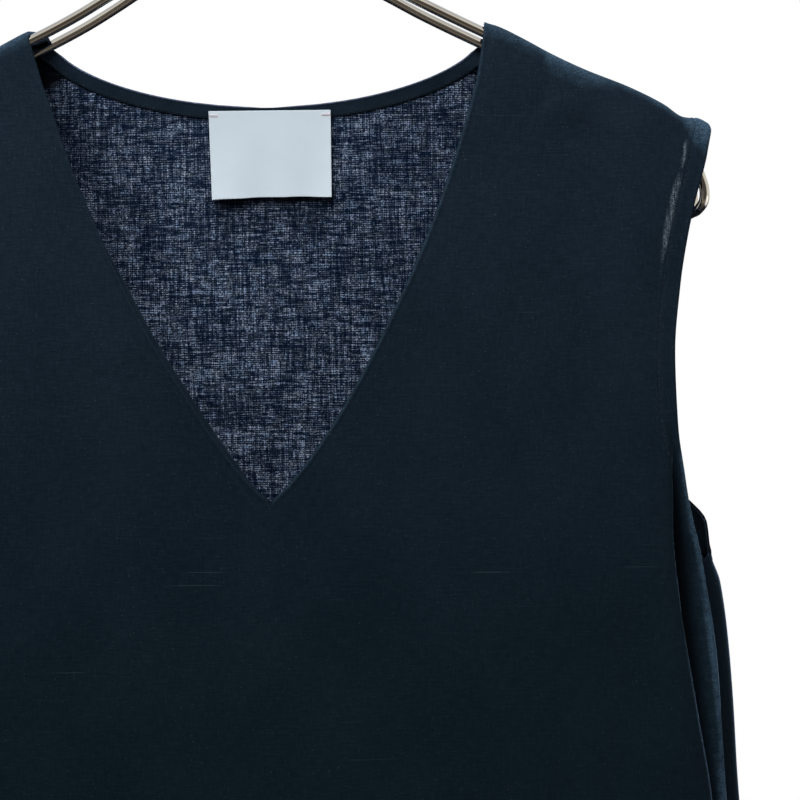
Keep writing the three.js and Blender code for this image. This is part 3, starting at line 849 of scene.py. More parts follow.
def neck_frames(face, hand):
    """Frames down one side of the neck: functions of a distance, each giving a place and a way."""
    frames = []
    for depth, drop, angle, _ in OVER_WIRES:
        way = Vector((0, face * math.sin(angle), math.cos(angle)))

        def over(distance, depth=depth, drop=drop, way=way):
            x = shoulder_neck(face, hand, depth) + distance / math.hypot(1, WIRE_SLOPE)
            point = Vector((hand * x, face * max(depth, SEAM_HALF_GAP), place_z(RIDGE(x) + drop)))
            return point, way
        frames.append(over)
    line = edge_line(face, hand)
    out = Vector((0, face, 0))

    def flat(x, level):
        height = panel_plane(level) + hang(face, hand * x, level)
        return Vector((hand * x, face * height, place_z(level))), out

    lean = 0
    for i, (x, level) in enumerate(line):
        before, after = line[max(i - 1, 0)], line[min(i + 1, len(line) - 1)]
        run = Vector((after[0] - before[0], after[1] - before[1])).normalized()
        across = Vector((run.y, -run.x))
        if i == len(line) - 1 and face > 0:
            across = Vector((0, 1))
        lean = math.atan2(across.y, across.x)

        def beside(distance, x=x, level=level, across=across):
            return flat(x + across.x * distance, level + across.y * distance)
        frames.append(beside)
    if face < 0:
        for i in range(1, TIP_FRAMES + 1):
            angle = mix(lean, math.pi / 2, i / TIP_FRAMES)

            def fanned(distance, angle=angle, stretch=1 / math.cos(angle - lean)):
                reach = distance * stretch
                return flat(math.cos(angle) * reach, V_DEPTH + math.sin(angle) * reach)
            frames.append(fanned)
    return frames


def peek_at(face, hand, level):
    """How far the strip inside the neck peeks past its edge."""
    if face > 0:
        return BACK_PEEK
    shown = smooth(level, 0.095, 0.125) * (1 - 0.8 * smooth(level, 0.190, V_DEPTH))
    return mix(LEAST_PEEK, FRONT_PEEK[hand], shown)


def neck_binding(name, face):
    """A strip turned to the inside of the neck."""
    bm = bmesh.new()
    for hand in (1, -1):
        rows = []
        along = 0
        last = None
        for frame in neck_frames(face, hand):
            edge = frame(0)[0]
            along += (edge - last).length if last else 0
            last = edge
            row = []
            peek = peek_at(face, hand, NECK_POINT_Z - edge.z)
            for step in BINDING_STEPS:
                distance = mix(-peek, NECK_STRIP, step)
                point, way = frame(distance)
                sunk = BINDING_DEPTH + BINDING_ROLL * (1 - min(step / BINDING_STEPS[2], 1)) ** 2
                row.append([point - way * sunk, hand * along, -distance])
            rows.append(row)
        grid_sheet(bm, rows, face, hand)
    return finish_sheet(bm, name)


LABEL_PLANE = PLANE - 0.0018
LABEL_COLUMNS = 28
LABEL_ROWS = 20
LABEL_RIM = (0, 0.006, 0.016)
LABEL_RIB = 0.0003
NECK_STITCH_IN = 0.0011
TACK = {"inset": 0.0004, "step": 0.00045, "stitches": 9, "drop": 0.0020, "height": 0.0016,
        "radius": 0.00022, "lean": 9}


def label_place(side, drop):
    """A place on the label: its top is tacked down and its bottom lifts and waves a little."""
    lift = LABEL["lift"] * drop * drop * mix(1, side * side, LABEL["curl"])
    wave = 0.0007 * drop * math.sin(2.1 * side + 0.6) - 0.0003 * drop * math.sin(7.4 * side)
    sag = drop * (0.00075 * side * side - 0.00047 * side + 0.00012 * math.sin(9 * side))
    slant = 0.0012 * drop * max(-side, 0) + LABEL["aside"]
    level = BACK_NECK_DEPTH + LABEL["drop"] + LABEL["height"] * drop + sag
    depth = LABEL_PLANE - lift + wave * (0.4 + 0.6 * drop)
    return Vector((side * LABEL["width"] / 2 + slant, depth, place_z(level)))


def rimmed(count):
    """Even steps from 0 to 1, with closer ones at both ends."""
    even = [i / count for i in range(1, count)]
    return [*LABEL_RIM, *even, *(1 - step for step in reversed(LABEL_RIM))]


def label_piece(name):
    bm = bmesh.new()
    rows = []
    for drop in rimmed(LABEL_ROWS):
        row = []
        for share in rimmed(LABEL_COLUMNS):
            side = 2 * share - 1
            border = min(1 - abs(side), drop * 1.4, (1 - drop) * 1.4) * LABEL["width"] / 2
            raised = ridge_at(border, 0.0005, 0.0005, 0.00005)
            across = side * LABEL["width"] / 2
            row.append([label_place(side, drop), across, -drop * LABEL["height"], raised])
        rows.append(row)
    grid_sheet(bm, rows, -1, 1)
    return finish_sheet(bm, name)


def label_tack(name, hand):
    """The short bar of stitches that holds one of the label's upper corners."""
    bm = bmesh.new()
    for i in range(TACK["stitches"]):
        side = hand * (1 - (TACK["inset"] + i * TACK["step"]) * 2 / LABEL["width"])
        place = label_place(side, TACK["drop"] / LABEL["height"])
        place.y -= LABEL_WALL / 2 + TACK["radius"] * 0.4
        middle = Matrix.Translation(place)
        turn = Matrix.Rotation(math.radians(TACK["lean"] * (1 - 2 * (i % 2))), 4, "Y")
        size = Matrix.Diagonal((TACK["radius"], TACK["radius"], TACK["height"] / 2, 1))
        bmesh.ops.create_icosphere(bm, subdivisions=2, radius=1, matrix=middle @ turn @ size)
    return plain_piece(bm, name)


def spaced(line, step):
    """Places along a line at equal steps, each with the line's direction there."""
    places = []
    wanted = step / 2
    gone = 0
    for a, b in zip(line, line[1:]):
        length = (b - a).length
        while length and wanted <= gone + length:
            places.append((a.lerp(b, (wanted - gone) / length), (b - a).normalized()))
            wanted += step
        gone += length
    return places


def sew(bm, line, surface, way, length, gap, radius):
    """Sews a run of stitches, each a small spindle half sunk in the side that way shows."""
    for point, run in spaced(line, length + gap):
        place, normal, _, _ = surface.find_nearest(point)
        if normal.dot(way(point)) < 0:
            normal = -normal
        side = normal.cross(run).normalized()
        run = side.cross(normal)
        turned = Matrix((run, side, normal)).transposed().to_4x4()
        size = Matrix.Diagonal((length / 2, radius, radius, 1))
        middle = Matrix.Translation(place + normal * (SHELL / 2 + radius * 0.1))
        bmesh.ops.create_icosphere(bm, subdivisions=1, radius=1, matrix=middle @ turned @ size)


def surface_of(name):
    piece = bpy.data.objects.get(name)
    if piece is None:
        raise RuntimeError(f"{name} comes before its stitching")
    points = [vert.co for vert in piece.data.vertices]
    return BVHTree.FromPolygons(points, [tuple(face.vertices) for face in piece.data.polygons])


def armhole_line(face, hand):
    """The line of stitching beside an armhole's edge, down to where the side folds hide it."""
    places = [row[1][0] for row in armhole_strip_rows(face, hand)]
    return [place for place in places if NECK_POINT_Z - place.z < STITCH_END[face]]


def neck_line(face, hand, distance):
    return [frame(distance)[0] for frame in neck_frames(face, hand)]


def hem_line(face):
    level = LENGTH - HEM + HEM_STITCH_IN
    halves = {hand: [place[0] for place in panel_row(face, hand, level, level)] for hand in (1, -1)}
    return list(reversed(halves[-1])) + halves[1][1:]


def curve_through(points, steps):
    """A smooth curve through points, on tangents that suit points unevenly far apart."""
    ends = [points[0] * 2 - points[1], *points, points[-1] * 2 - points[-2]]
    curve = []
    for before, a, b, after in zip(ends, ends[1:], ends[2:], ends[3:]):
        t0, t1, t2 = (math.sqrt((q - p).length) for p, q in ((before, a), (a, b), (b, after)))
        leave = ((a - before) / t0 - (b - before) / (t0 + t1) + (b - a) / t1) * t1
        reach = ((b - a) / t1 - (after - a) / (t1 + t2) + (after - b) / t2) * t1
        part = interpolate_bezier(a, a + leave / 3, b - reach / 3, b, steps + 1)
        curve += part[:-1]
    return curve + [points[-1]]


def sweep(bm, line, radius, sides, round_end=False):
    """Sweeps a round wire along a line, with closed ends, of which the last may be rounded."""
    ways = [(b - a).normalized() for a, b in zip(line, line[1:])]
    ways = [ways[0]] + [(a + b).normalized() for a, b in zip(ways, ways[1:])] + [ways[-1]]
    turned = []
    for a, b in zip([Vector((0, 0, 1)), *ways], ways):
        turn = a.rotation_difference(b).to_matrix().to_4x4()
        turned.append(turn @ turned[-1] if turned else turn)
    frames = [Matrix.Translation(point) @ turn for point, turn in zip(line, turned)]
    last = frames[-1]
    for i in range(1, ROUND_STEPS if round_end else 0):
        angle = math.pi / 2 * i / ROUND_STEPS
        ball = Matrix.Translation(ways[-1] * radius * math.sin(angle)) @ last
        frames.append(ball @ Matrix.Scale(math.cos(angle), 4))
    bmesh.ops.create_circle(bm, segments=sides, radius=radius, matrix=frames[0])
    edges = bm.edges[:]
    bmesh.ops.edgeloop_fill(bm, edges=edges)
    for before, after in zip(frames, frames[1:]):
        made = bmesh.ops.extrude_edge_only(bm, edges=edges)["geom"]
        edges = [item for item in made if isinstance(item, bmesh.types.BMEdge)
                 and item.is_boundary]
        verts = [item for item in made if isinstance(item, bmesh.types.BMVert)]
        bmesh.ops.transform(bm, matrix=after @ before.inverted(), verts=verts)
    bmesh.ops.edgeloop_fill(bm, edges=edges)
    bmesh.ops.recalc_face_normals(bm, faces=bm.faces)


ARM_OUT = (0, 0.008, 0.020, 0.034, 0.047, 0.060, 0.072, 0.085, 0.105, 0.125, 0.160)
ARM_END = (
    (0.1860, 0.0486, 0.020),
    (0.1924, 0.0585, 0.020),
    (0.1964, 0.0687, 0.020),
    (0.1984, 0.0756, 0.020),
    (0.1982, 0.0810, 0.019),
    (0.1960, 0.0846, 0.015),
    (0.1946, 0.0855, 0.008),
    (0.1944, 0.0857, 0.000),
)
# How much higher each arm runs than its straight line
ARM_RAISE = profiles(("x", "right", "left"), [
    (0.009, 0.0012, 0.0030),
    (0.030, 0.0018, 0.0050),
    (0.055, 0.0018, 0.0060),
    (0.068, 0.0012, 0.0046),
    (0.080, 0.0008, 0.0030),
    (0.092, 0.0006, 0.0020),
    (0.115, 0.0005, 0.0016),
    (0.160, 0.0000, 0.0000),
])
ROUND_STEPS = 5                # bands of the hook's round tip
STEM = ((0, -0.0657), (0, -0.060), (0.0014, -0.053), (0.0062, -0.045))


def arm_line(hand):
    """One arm's wire: out along the front, down in a loop at its end and in along the back."""
    start = COLLAR["width"] / 2 + 0.0003 + WIRE_RADIUS * math.sin(math.atan(WIRE_SLOPE))
    half = []
    for step in ARM_OUT:
        x = start + step
        depth = mix(WIRE_ROOT_DEPTH, WIRE_DEPTH, smooth(x, start, WIRE_STRAIGHT))
        level = WIRE_NECK_LEVEL + WIRE_SLOPE * (x - NECK_HALF)
        half.append((x, level - ARM_RAISE[SIDE_NAMES[hand]](x), depth))
    half += ARM_END
    whole = half + [(x, level, -depth) for x, level, depth in reversed(half[:-1])]
    points = [Vector((hand * x, -depth, place_z(level))) for x, level, depth in whole]
    return curve_through(points, 5)


def hook_line():
    radius = HOOK_RADIUS + WIRE_RADIUS
    points = [Vector((x, 0, z)) for x, z in STEM]
    for degrees in range(HOOK_TURN[0], HOOK_TURN[1] + 1, 10):
        angle = math.radians(degrees)
        points.append(Vector((radius * math.cos(angle), 0, radius * math.sin(angle) - HOOK_RADIUS)))
    return curve_through(points, 4)


def collar_piece(name):
    """The block that clamps the wires, with its upright corners rounded and its rims broken."""
    bm = bmesh.new()
    size = Matrix.Diagonal((COLLAR["width"], COLLAR["depth"], COLLAR["height"], 1))
    middle = Matrix.Translation((0, 0, -COLLAR["top"] - COLLAR["height"] / 2))
    bmesh.ops.create_cube(bm, size=1, matrix=middle @ size)
    upright = [e for e in bm.edges if abs(e.verts[0].co.z - e.verts[1].co.z) > 0.001]
    bmesh.ops.bevel(bm, geom=upright, offset=COLLAR["round"], segments=5, profile=0.5,
                    affect="EDGES", material=-1)
    rims = [e for e in bm.edges if abs(e.verts[0].co.z - e.verts[1].co.z) < 1e-6
            and any(abs(f.normal.z) > 0.9 for f in e.link_faces)]
    bmesh.ops.bevel(bm, geom=rims, offset=0.0005, segments=2, profile=0.5, affect="EDGES",
                    material=-1)
    return plain_piece(bm, name)


class Graph:
    """A tree of shader nodes, and short ways to add and join them."""

    def __init__(self, tree):
        self.nodes, self.links = tree.nodes, tree.links

    def add(self, kind, **settings):
        node = self.nodes.new(f"ShaderNode{kind}")
        for key, value in settings.items():
            setattr(node, key, value)
        return node

    def feed(self, socket, value):
        if isinstance(value, bpy.types.NodeSocket):
            self.links.new(value, socket)
        else:
            socket.default_value = value

    def fed(self, node, *values):
        """Feeds values to a node's first inputs, and gives its first output."""
        for socket, value in zip(node.inputs, values):
            self.feed(socket, value)
        return node.outputs[0]

    def split(self, vector):
        node = self.add("SeparateXYZ")
        self.feed(node.inputs[0], vector)
        return node.outputs

    def maths(self, operation, *values, clamp=False):
        return self.fed(self.add("Math", operation=operation, use_clamp=clamp), *values)

    def times(self, a, b, clamp=False):
        return self.maths("MULTIPLY", a, b, clamp=clamp)

    def plus(self, a, b, clamp=False):
        return self.maths("ADD", a, b, clamp=clamp)

    def minus(self, a, b):
        return self.maths("SUBTRACT", a, b)

    def mapped(self, vector, key, values):
        """A vector with another Location, Rotation or Scale."""
        node = self.add("Mapping")
        self.feed(node.inputs["Vector"], vector)
        node.inputs[key].default_value = values
        return node.outputs[0]

    def noise(self, vector, size=None, detail=2.0, roughness=0.5, place=None):
        """Uneven patches: how many lie in a metre each way, and where the pattern is read."""
        if place:
            vector = self.mapped(vector, "Location", (*place, 0))
        if size:
            vector = self.mapped(vector, "Scale", (*size, 1)[:3])
        node = self.add("TexNoise")
        self.feed(node.inputs["Vector"], vector)
        for key, value in (("Scale", 1), ("Detail", detail), ("Roughness", roughness)):
            node.inputs[key].default_value = value
        return node.outputs["Fac"]

    def spread(self, value, low, high, to_low=0.0, to_high=1.0):
        """A value's range between low and high, eased and fitted to another range."""
        node = self.add("MapRange", interpolation_type="SMOOTHSTEP")
        return self.fed(node, value, low, high, to_low, to_high)

    def blend(self, factor, a, b):
        """A colour between two, each of which is a socket or three numbers."""
        node = self.add("Mix", data_type="RGBA")
        colours = [c if isinstance(c, bpy.types.NodeSocket) else rgba(c) for c in (a, b)]
        sockets = {socket.name: socket for socket in node.inputs if socket.enabled}
        for key, value in zip(("Factor", "A", "B"), (factor, *colours)):
            self.feed(sockets[key], value)
        return next(socket for socket in node.outputs if socket.enabled)


class Finish(Graph):
    """A material, and short ways to add what its shader is fed."""

    def __init__(self, name):
        self.material = bpy.data.materials.new(name)
        self.material.use_nodes = True
        super().__init__(self.material.node_tree)
        self.shader = self.nodes["Principled BSDF"]

    def cloth_place(self):
        """Where a point lies on its cloth, laid flat."""
        return self.add("UVMap", uv_map="cloth").outputs[0]

    def place(self):
        return self.add("TexCoord").outputs["Object"]

    def mark(self, name):
        return self.add("Attribute", attribute_name=name).outputs["Fac"]

    def bump(self, height, distance, strength=1.0):
        node = self.add("Bump")
        node.inputs["Strength"].default_value = strength
        node.inputs["Distance"].default_value = distance
        self.feed(node.inputs["Height"], height)
        self.feed(self.shader.inputs["Normal"], node.outputs[0])

    def set(self, **values):
        for key, value in values.items():
            self.feed(self.shader.inputs[key.replace("_", " ")], value)
        return self.material


def rgba(colour):
    return (*colour, 1.0)


def thread_gaps(finish, uv, pitch_across, pitch_along):
    """How open the weave is between its upright threads and between its level ones.

    Each thread wanders a little, and has its own thickness, which changes along it.
    """
    x, y, _ = finish.split(uv)
    sides = (
        (x, y, pitch_across, (60, 14), (210, 70), 3.1),
        (y, x, pitch_along, (14, 60), (70, 210), 8.6),
    )
    gaps = []
    for place, run, pitch, slow, quick, seed in sides:
        shift = (seed, seed / 2)
        wander = finish.times(finish.noise(uv, slow, 1.0, place=shift), 3.0)
        shiver = finish.times(finish.noise(uv, quick, 1.0, place=shift), 1.3)
        thread = finish.maths("MULTIPLY_ADD", place, 1 / pitch, finish.plus(wander, shiver))
        own = finish.times(finish.maths("FLOOR", thread), 1.37)
        along = finish.fed(finish.add("CombineXYZ"), own, finish.times(run, 90.0), seed)
        thick = finish.noise(along, None, 4.0, 0.75)
        away = finish.maths("ABSOLUTE", finish.minus(finish.maths("FRACT", thread), 0.5))
        half_gap = finish.spread(thick, 0.30, 0.72, 0.56, -0.10)
        gaps.append(finish.spread(finish.minus(half_gap, away), -0.10, 0.16))
    return gaps


def fine_grain(finish, uv):
    """The face of the cloth: short streaks along its upright and its level threads."""
    upright = finish.spread(finish.noise(uv, (900, 170), 3.0, 0.7), 0.34, 0.70)
    level = finish.spread(finish.noise(uv, (170, 960), 3.0, 0.7), 0.34, 0.70)
    return finish.times(finish.plus(upright, level), 0.5)


def thin_slubs(finish, uv):
    """A few pale level slubs and flecks, far apart."""
    slub = finish.spread(finish.noise(uv, (15, 1400), 0.0, place=(0.4, 5.3)), 0.77, 0.85)
    where = finish.spread(finish.noise(uv, (24, 24), 1.0, place=(9.1, 0.2)), 0.52, 0.62)
    fleck = finish.spread(finish.noise(uv, (1150, 1350), 0.0, place=(2.2, 8.4)), 0.75, 0.85)
    slub = finish.times(finish.times(slub, where), 0.08)
    return finish.maths("MAXIMUM", slub, finish.times(fleck, 0.10))


def sheen_of(cloth):
    return {"Sheen_Weight": cloth.sheen, "Sheen_Roughness": 0.30,
            "Sheen_Tint": rgba(cloth.sheen_tint)}


def linen_outside(cloth):
    finish = Finish("linen_outside")
    uv = finish.cloth_place()
    grain = fine_grain(finish, uv)
    cloudy = finish.spread(finish.noise(uv, (17, 12), 3.0, 0.6), 0.3, 0.7, 0.15, 0.37)
    tone = finish.plus(cloudy, finish.times(grain, 0.52), clamp=True)
    # Painted light: the cloth is painted paler towards the shoulders, as if lit more from above
    faded = finish.spread(finish.split(uv)["Y"], -0.36, -0.06)
    base = finish.blend(tone, cloth.shade, finish.blend(faded, cloth.colour, cloth.faded))
    base = finish.blend(thin_slubs(finish, uv), base, cloth.fleck)
    # Painted light through the single cloth beside the armhole's turned strip, as pale streaks
    hairs = finish.noise(uv, (950, 2400), 3.0, 0.75, place=(1.9, 4.4))
    runs = finish.noise(uv, (2400, 110), 2.0, 0.6, place=(3.9, 1.4))
    streaks = finish.times(finish.spread(hairs, 0.42, 0.66), finish.spread(runs, 0.34, 0.6))
    streaks = finish.times(finish.times(streaks, finish.mark("sheer")), 0.9)
    base = finish.blend(streaks, base, cloth.fleck)
    # Painted highlight: pale specks of nap where the highlight mark lies, and faintly towards the
    # shoulders
    painted_sheen_specks = finish.noise(uv, (1350, 1950), 5.0, 0.9, place=(5.5, 2.5))
    nap = finish.maths("MAXIMUM", finish.mark("worn"), finish.times(faded, 0.015))
    painted_sheen_specks = finish.times(finish.spread(painted_sheen_specks, 0.38, 0.68, 0.0, 1.9), nap)
    broken = finish.noise(uv, (190, 230), 2.0, 0.6, place=(1.5, 7.5))
    painted_sheen_specks = finish.times(painted_sheen_specks, finish.spread(broken, 0.30, 0.70, 0.55, 1.30))
    base = finish.blend(painted_sheen_specks, base, cloth.worn)
    # Painted shade deep in the side folds
    base = finish.blend(finish.mark("shut"), base, cloth.hollow)
    finish.bump(grain, 0.00016, 0.75)
    return finish.set(Base_Color=base, Roughness=0.9, Specular_IOR_Level=0.06, **sheen_of(cloth))


# Patches that open or close the weave of the inner face: where the pattern is read, how many
# lie in a metre across and along, the range of it that is eased, and how open it makes the weave
INSIDE_PATCHES = (
    ((6.1, 3.3), (1050, 1500), (0.36, 0.66), (0.10, 2.10)),
    ((8.8, 1.7), (520, 420), (0.34, 0.66), (0.55, 1.40)),
    ((2.7, 0.6), (1000, 36), (0.48, 0.60), (1.0, 0.30)),
    ((0.9, 7.3), (40, 1100), (0.52, 0.66), (1.0, 0.42)),
    ((3.3, 8.2), (330, 60), (0.47, 0.66), (1.0, 0.42)),
    ((0.0, 0.0), (60, 44), (0.30, 0.70), (0.62, 1.34)),
)


def linen_inside(cloth):
    """The cloth's inner face: the light that comes through the gaps of its open weave is painted
    into its colour.
    """
    finish = Finish("linen_inside")
    uv = finish.cloth_place()
    across, along = thread_gaps(finish, uv, cloth.thread_across, cloth.thread_along)
    open_weave = finish.times(finish.maths("MULTIPLY_ADD", across, 0.55, 0.45), along)
    open_weave = finish.plus(open_weave, finish.times(across, 0.16))
    for place, size, ends, values in INSIDE_PATCHES:
        patch = finish.noise(uv, size, 2.0, 0.6, place=place)
        open_weave = finish.times(open_weave, finish.spread(patch, *ends, *values))
    # Painted light through the weave, dimmer towards the top
    lit = finish.spread(finish.split(uv)["Y"], -0.21, -0.02, 0.75, 0.54)
    bright = finish.times(open_weave, lit, clamp=True)
    tint = finish.spread(finish.noise(uv, (170, 200), 3.0, 0.7, place=(4.2, 6.6)), 0.30, 0.70)
    through = finish.blend(tint, cloth.through_cool, cloth.through_warm)
    base = finish.blend(bright, cloth.through_deep, through)
    # Painted shade under the shoulder seam and under the label
    closed = finish.times(finish.mark("shut"), -1.0, clamp=True)
    base = finish.blend(closed, base, cloth.hollow)
    # Painted highlight along the back neck's rim and over the wires
    base = finish.blend(finish.mark("worn"), base, cloth.rim)
    finish.bump(finish.minus(1.0, along), 0.00018, 0.6)
    return finish.set(Base_Color=base, Roughness=0.9, Specular_IOR_Level=0.06)


def linen_doubled(cloth):
    """The bindings: pressed double cloth, so that no light comes through."""
    finish = Finish("linen_doubled")
    uv = finish.cloth_place()
    grain = fine_grain(finish, finish.mapped(uv, "Rotation", (0, 0, math.radians(45))))
    cloudy = finish.spread(finish.noise(uv, (90, 120)), 0.3, 0.7, 0.20, 0.45)
    tone = finish.plus(cloudy, finish.times(grain, 0.30), clamp=True)
    # The bindings take the cloth's colour as painted paler towards the shoulders
    base = finish.blend(tone, cloth.shade, cloth.faded)
    finish.bump(grain, 0.00012, 0.7)
    return finish.set(Base_Color=base, Roughness=0.85, Specular_IOR_Level=0.08, **sheen_of(cloth))


def twisted_thread(name, colour, twist_shade, twists, **values):
    """A thread with painted shade between its twists."""
    finish = Finish(name)
    twist = finish.noise(finish.place(), (twists, twists, twists), 1.0)
    base = finish.blend(twist, [c * twist_shade for c in colour], colour)
    return finish.set(Base_Color=base, **values)


def sewing_thread(trims):
    return twisted_thread("sewing_thread", trims.thread_colour, 0.6, 2600, Roughness=0.6,
                          Sheen_Weight=0.2, Sheen_Roughness=0.3)


def tack_thread(trims):
    return twisted_thread("tack_thread", trims.tack_colour, 0.75, 2200, Roughness=0.55)


def label_weave(trims):
    finish = Finish("label_weave")
    uv = finish.cloth_place()
    rib = finish.maths("SINE", finish.times(finish.split(uv)["Y"], math.tau / LABEL_RIB))
    grain = finish.noise(uv, (3200, 900))
    soft = finish.spread(finish.noise(uv, (45, 60)), 0.3, 0.7, 0.25, 0.7)
    tone = finish.plus(soft, finish.times(finish.minus(grain, 0.5), 0.5), clamp=True)
    base = finish.blend(tone, trims.label_shade, trims.label_colour)
    finish.bump(finish.plus(finish.times(rib, 0.35), grain), 0.00006, 0.7)
    return finish.set(Base_Color=base, Roughness=0.6, Specular_IOR_Level=0.15, Sheen_Weight=0.04,
                      Sheen_Roughness=0.3)


def chrome_plate(hanger):
    finish = Finish("chrome_plate")
    place = finish.place()
    smear = finish.noise(place, (60, 60, 60), 3.0)
    fine = finish.spread(finish.noise(place, (900, 900, 900)), 0.55, 0.8, 0.0, 0.05)
    dull = finish.spread(smear, 0.3, 0.75, hanger.roughness, hanger.roughness + 0.10)
    dim = [c * 0.9 for c in hanger.chrome]
    base = finish.blend(finish.spread(smear, 0.35, 0.7), hanger.chrome, dim)
    return finish.set(Base_Color=base, Metallic=1.0, Roughness=finish.plus(dull, fine))


# Whose settings each finish reads, where they aren't the cloth's
FINISH_SETTINGS = {
    sewing_thread: "dress_trims",
    tack_thread: "dress_trims",
    label_weave: "dress_trims",
    chrome_plate: "dress_hanger",
}


def tint(name, description, default):
    return bpy.props.FloatVectorProperty(
        name=name, description=description, default=default, size=3, subtype="COLOR")


def measure(name, description, default):
    return bpy.props.FloatProperty(
        name=name, description=description, default=default, unit="LENGTH")


def power(name, description, default):
    return bpy.props.FloatProperty(
        name=name, description=description, default=default, min=0, unit="POWER")


def amount(name, description, default):
    return bpy.props.FloatProperty(
        name=name, description=description, default=default, min=0, max=1)


class DressCloth(bpy.types.PropertyGroup):
    wall: measure("Wall", "Thickness of the cloth", SHELL)
    thread_across: measure("Threads across", "From one upright thread to the next", 0.00096)
    thread_along: measure("Threads along", "From one level thread to the next", 0.00104)
    colour: tint("Linen", "The cloth's lit colour", (0.0068, 0.0150, 0.0216))
    # Painted light: the cloth's colour painted paler towards the shoulders, as if lit more from
    # above; the bindings take it too
    faded: tint("Linen, faded", "The cloth's lit colour towards the shoulders",
                (0.0112, 0.0186, 0.0290))
    shade: tint("Shade", "The cloth's colour between its threads", (0.0023, 0.0061, 0.0105))
    # Flecks are the cloth's own; the same colour also paints light through the single cloth beside
    # the armholes
    fleck: tint("Fleck", "Colour of flecks and thin threads", (0.22, 0.27, 0.32))
    # Colour of the painted highlight on the nap
    worn: tint("Worn", "Colour of the nap where it is worn", (0.050, 0.092, 0.140))
    # Painted light through the weave of the inner face
    through_cool: tint("Light through, cool", "Bluish light that comes through the weave",
                       (0.180, 0.252, 0.395))
    through_warm: tint("Light through, warm", "Greyer light that comes through the weave",
                       (0.245, 0.290, 0.375))
    through_deep: tint("Inside", "The inner face where no light comes through",
                       (0.0014, 0.0052, 0.0155))
    # Colour of the painted shade in the folds' hollows, under the shoulder seam and under the label
    hollow: tint("Hollow", "Cloth in the hollows of its folds and seams",
                 (0.0010, 0.0016, 0.0026))
    # Colour of the painted highlight along the inner face's rim above the neck's strip, and over
    # the wires
    rim: tint("Rim", "The inner face's bare rim above the neck's strip", (0.110, 0.115, 0.190))
    sheen: amount("Sheen", "How much light the cloth's nap gives at its edges", 0.40)
    sheen_tint: tint("Sheen tint", "Colour of the nap's light", (0.38, 0.64, 1.0))


class DressTrims(bpy.types.PropertyGroup):
    stitch: measure("Stitch", "Length of one stitch", 0.0024)
    stitch_gap: measure("Stitch gap", "From one stitch to the next", 0.0007)
    thread_radius: measure("Thread radius", "Half the sewing thread's width", 0.00017)
    thread_colour: tint("Thread", "Colour of the sewing thread", (0.0044, 0.0090, 0.0145))
    tack_colour: tint("Tacks", "Colour of the stitches that hold the label", (0.62, 0.60, 0.64))
    label_colour: tint("Label", "Colour of the label", (0.474, 0.541, 0.594))
    label_shade: tint("Label shade", "Colour between the label's threads", (0.442, 0.505, 0.556))


class DressHanger(bpy.types.PropertyGroup):
    wire_sides: bpy.props.IntProperty(
        name="Wire sides", description="Faces round a wire", default=24, min=8, max=48)
    chrome: tint("Chrome", "Colour of the plating", (0.66, 0.64, 0.60))
    roughness: amount("Roughness", "How dull the plating is", 0.05)


class DressStage(bpy.types.PropertyGroup):
    key: power("Key light", "Power of the soft light before the dress", 18.4)
    fill: power("Fill light", "Power of the soft light from the other side", 2.6)
    top: power("Top light", "Power of the soft light above the dress", 2.5)
    back: power("Back light", "Power of the soft light behind the dress", 17.0)
    card: power("Side card", "Power of the card that the arm's end mirrors", 0.30)
    ambient: bpy.props.FloatProperty(
        name="Ambient", description="Strength of the light from all round", default=0.10,
        min=0, max=4)
    floor: tint("Floor", "Colour of the floor", (0.86, 0.87, 0.88))
    lens: bpy.props.FloatProperty(
        name="Lens", description="Focal length in millimetres on a 36 mm sensor",
        default=119.65, min=10)
    distance: measure("Distance", "From the camera to the front of the dress", 1.2)


def hang_panel(side, face, wall):
    """Hangs a whole panel, with its outer and its inner finish."""
    cloth = panel_piece(f"{side}_cloth", face)
    dress_piece(cloth, (linen_outside, linen_inside), "linen", f"{side}_panel", wall=wall)
    return {"FINISHED"}


class FrontPanelOperator(bpy.types.Operator):
    """Hangs the front, with its deep V, its side folds and its soft creases"""
    bl_idname = "dress.front_panel"
    bl_label = "Front panel"

    def execute(self, context):
        return hang_panel("front", -1, context.scene.dress_cloth.wall)


class BackPanelOperator(bpy.types.Operator):
    """Hangs the back, with its shallow round neck"""
    bl_idname = "dress.back_panel"
    bl_label = "Back panel"

    def execute(self, context):
        return hang_panel("back", 1, context.scene.dress_cloth.wall)


class NeckBindingsOperator(bpy.types.Operator):
    """Turns a narrow strip to the inside of the V and of the back neck"""
    bl_idname = "dress.neck_bindings"
    bl_label = "Neck bindings"

    def execute(self, context):
        for face, side in FACE_NAMES.items():
            strip = neck_binding(f"{side}_neck_strip", face)
            dress_piece(strip, (linen_doubled,), "linen_binding", f"{side}_neck_binding",
                        wall=BINDING_WALL)
        return {"FINISHED"}


class ArmholeBindingsOperator(bpy.types.Operator):
    """Turns a strip to the inside of each armhole"""
    bl_idname = "dress.armhole_bindings"
    bl_label = "Armhole bindings"

    def execute(self, context):
        for hand, side in SIDE_NAMES.items():
            strip = armhole_binding(f"armhole_strip_{side}", hand)
            dress_piece(strip, (linen_doubled,), "linen_binding", f"armhole_binding_{side}",
                        wall=BINDING_WALL)
        return {"FINISHED"}


class LabelOperator(bpy.types.Operator):
    """Tacks a bare woven label over the back neck's binding"""
    bl_idname = "dress.label"
    bl_label = "Label"

    def execute(self, context):
        label = label_piece("bare_label")
        dress_piece(label, (label_weave,), "woven_label", "neck_label", wall=LABEL_WALL)
        for hand, side in SIDE_NAMES.items():
            dress_piece(label_tack(f"label_tack_{side}", hand), (tack_thread,), "woven_label")
        return {"FINISHED"}


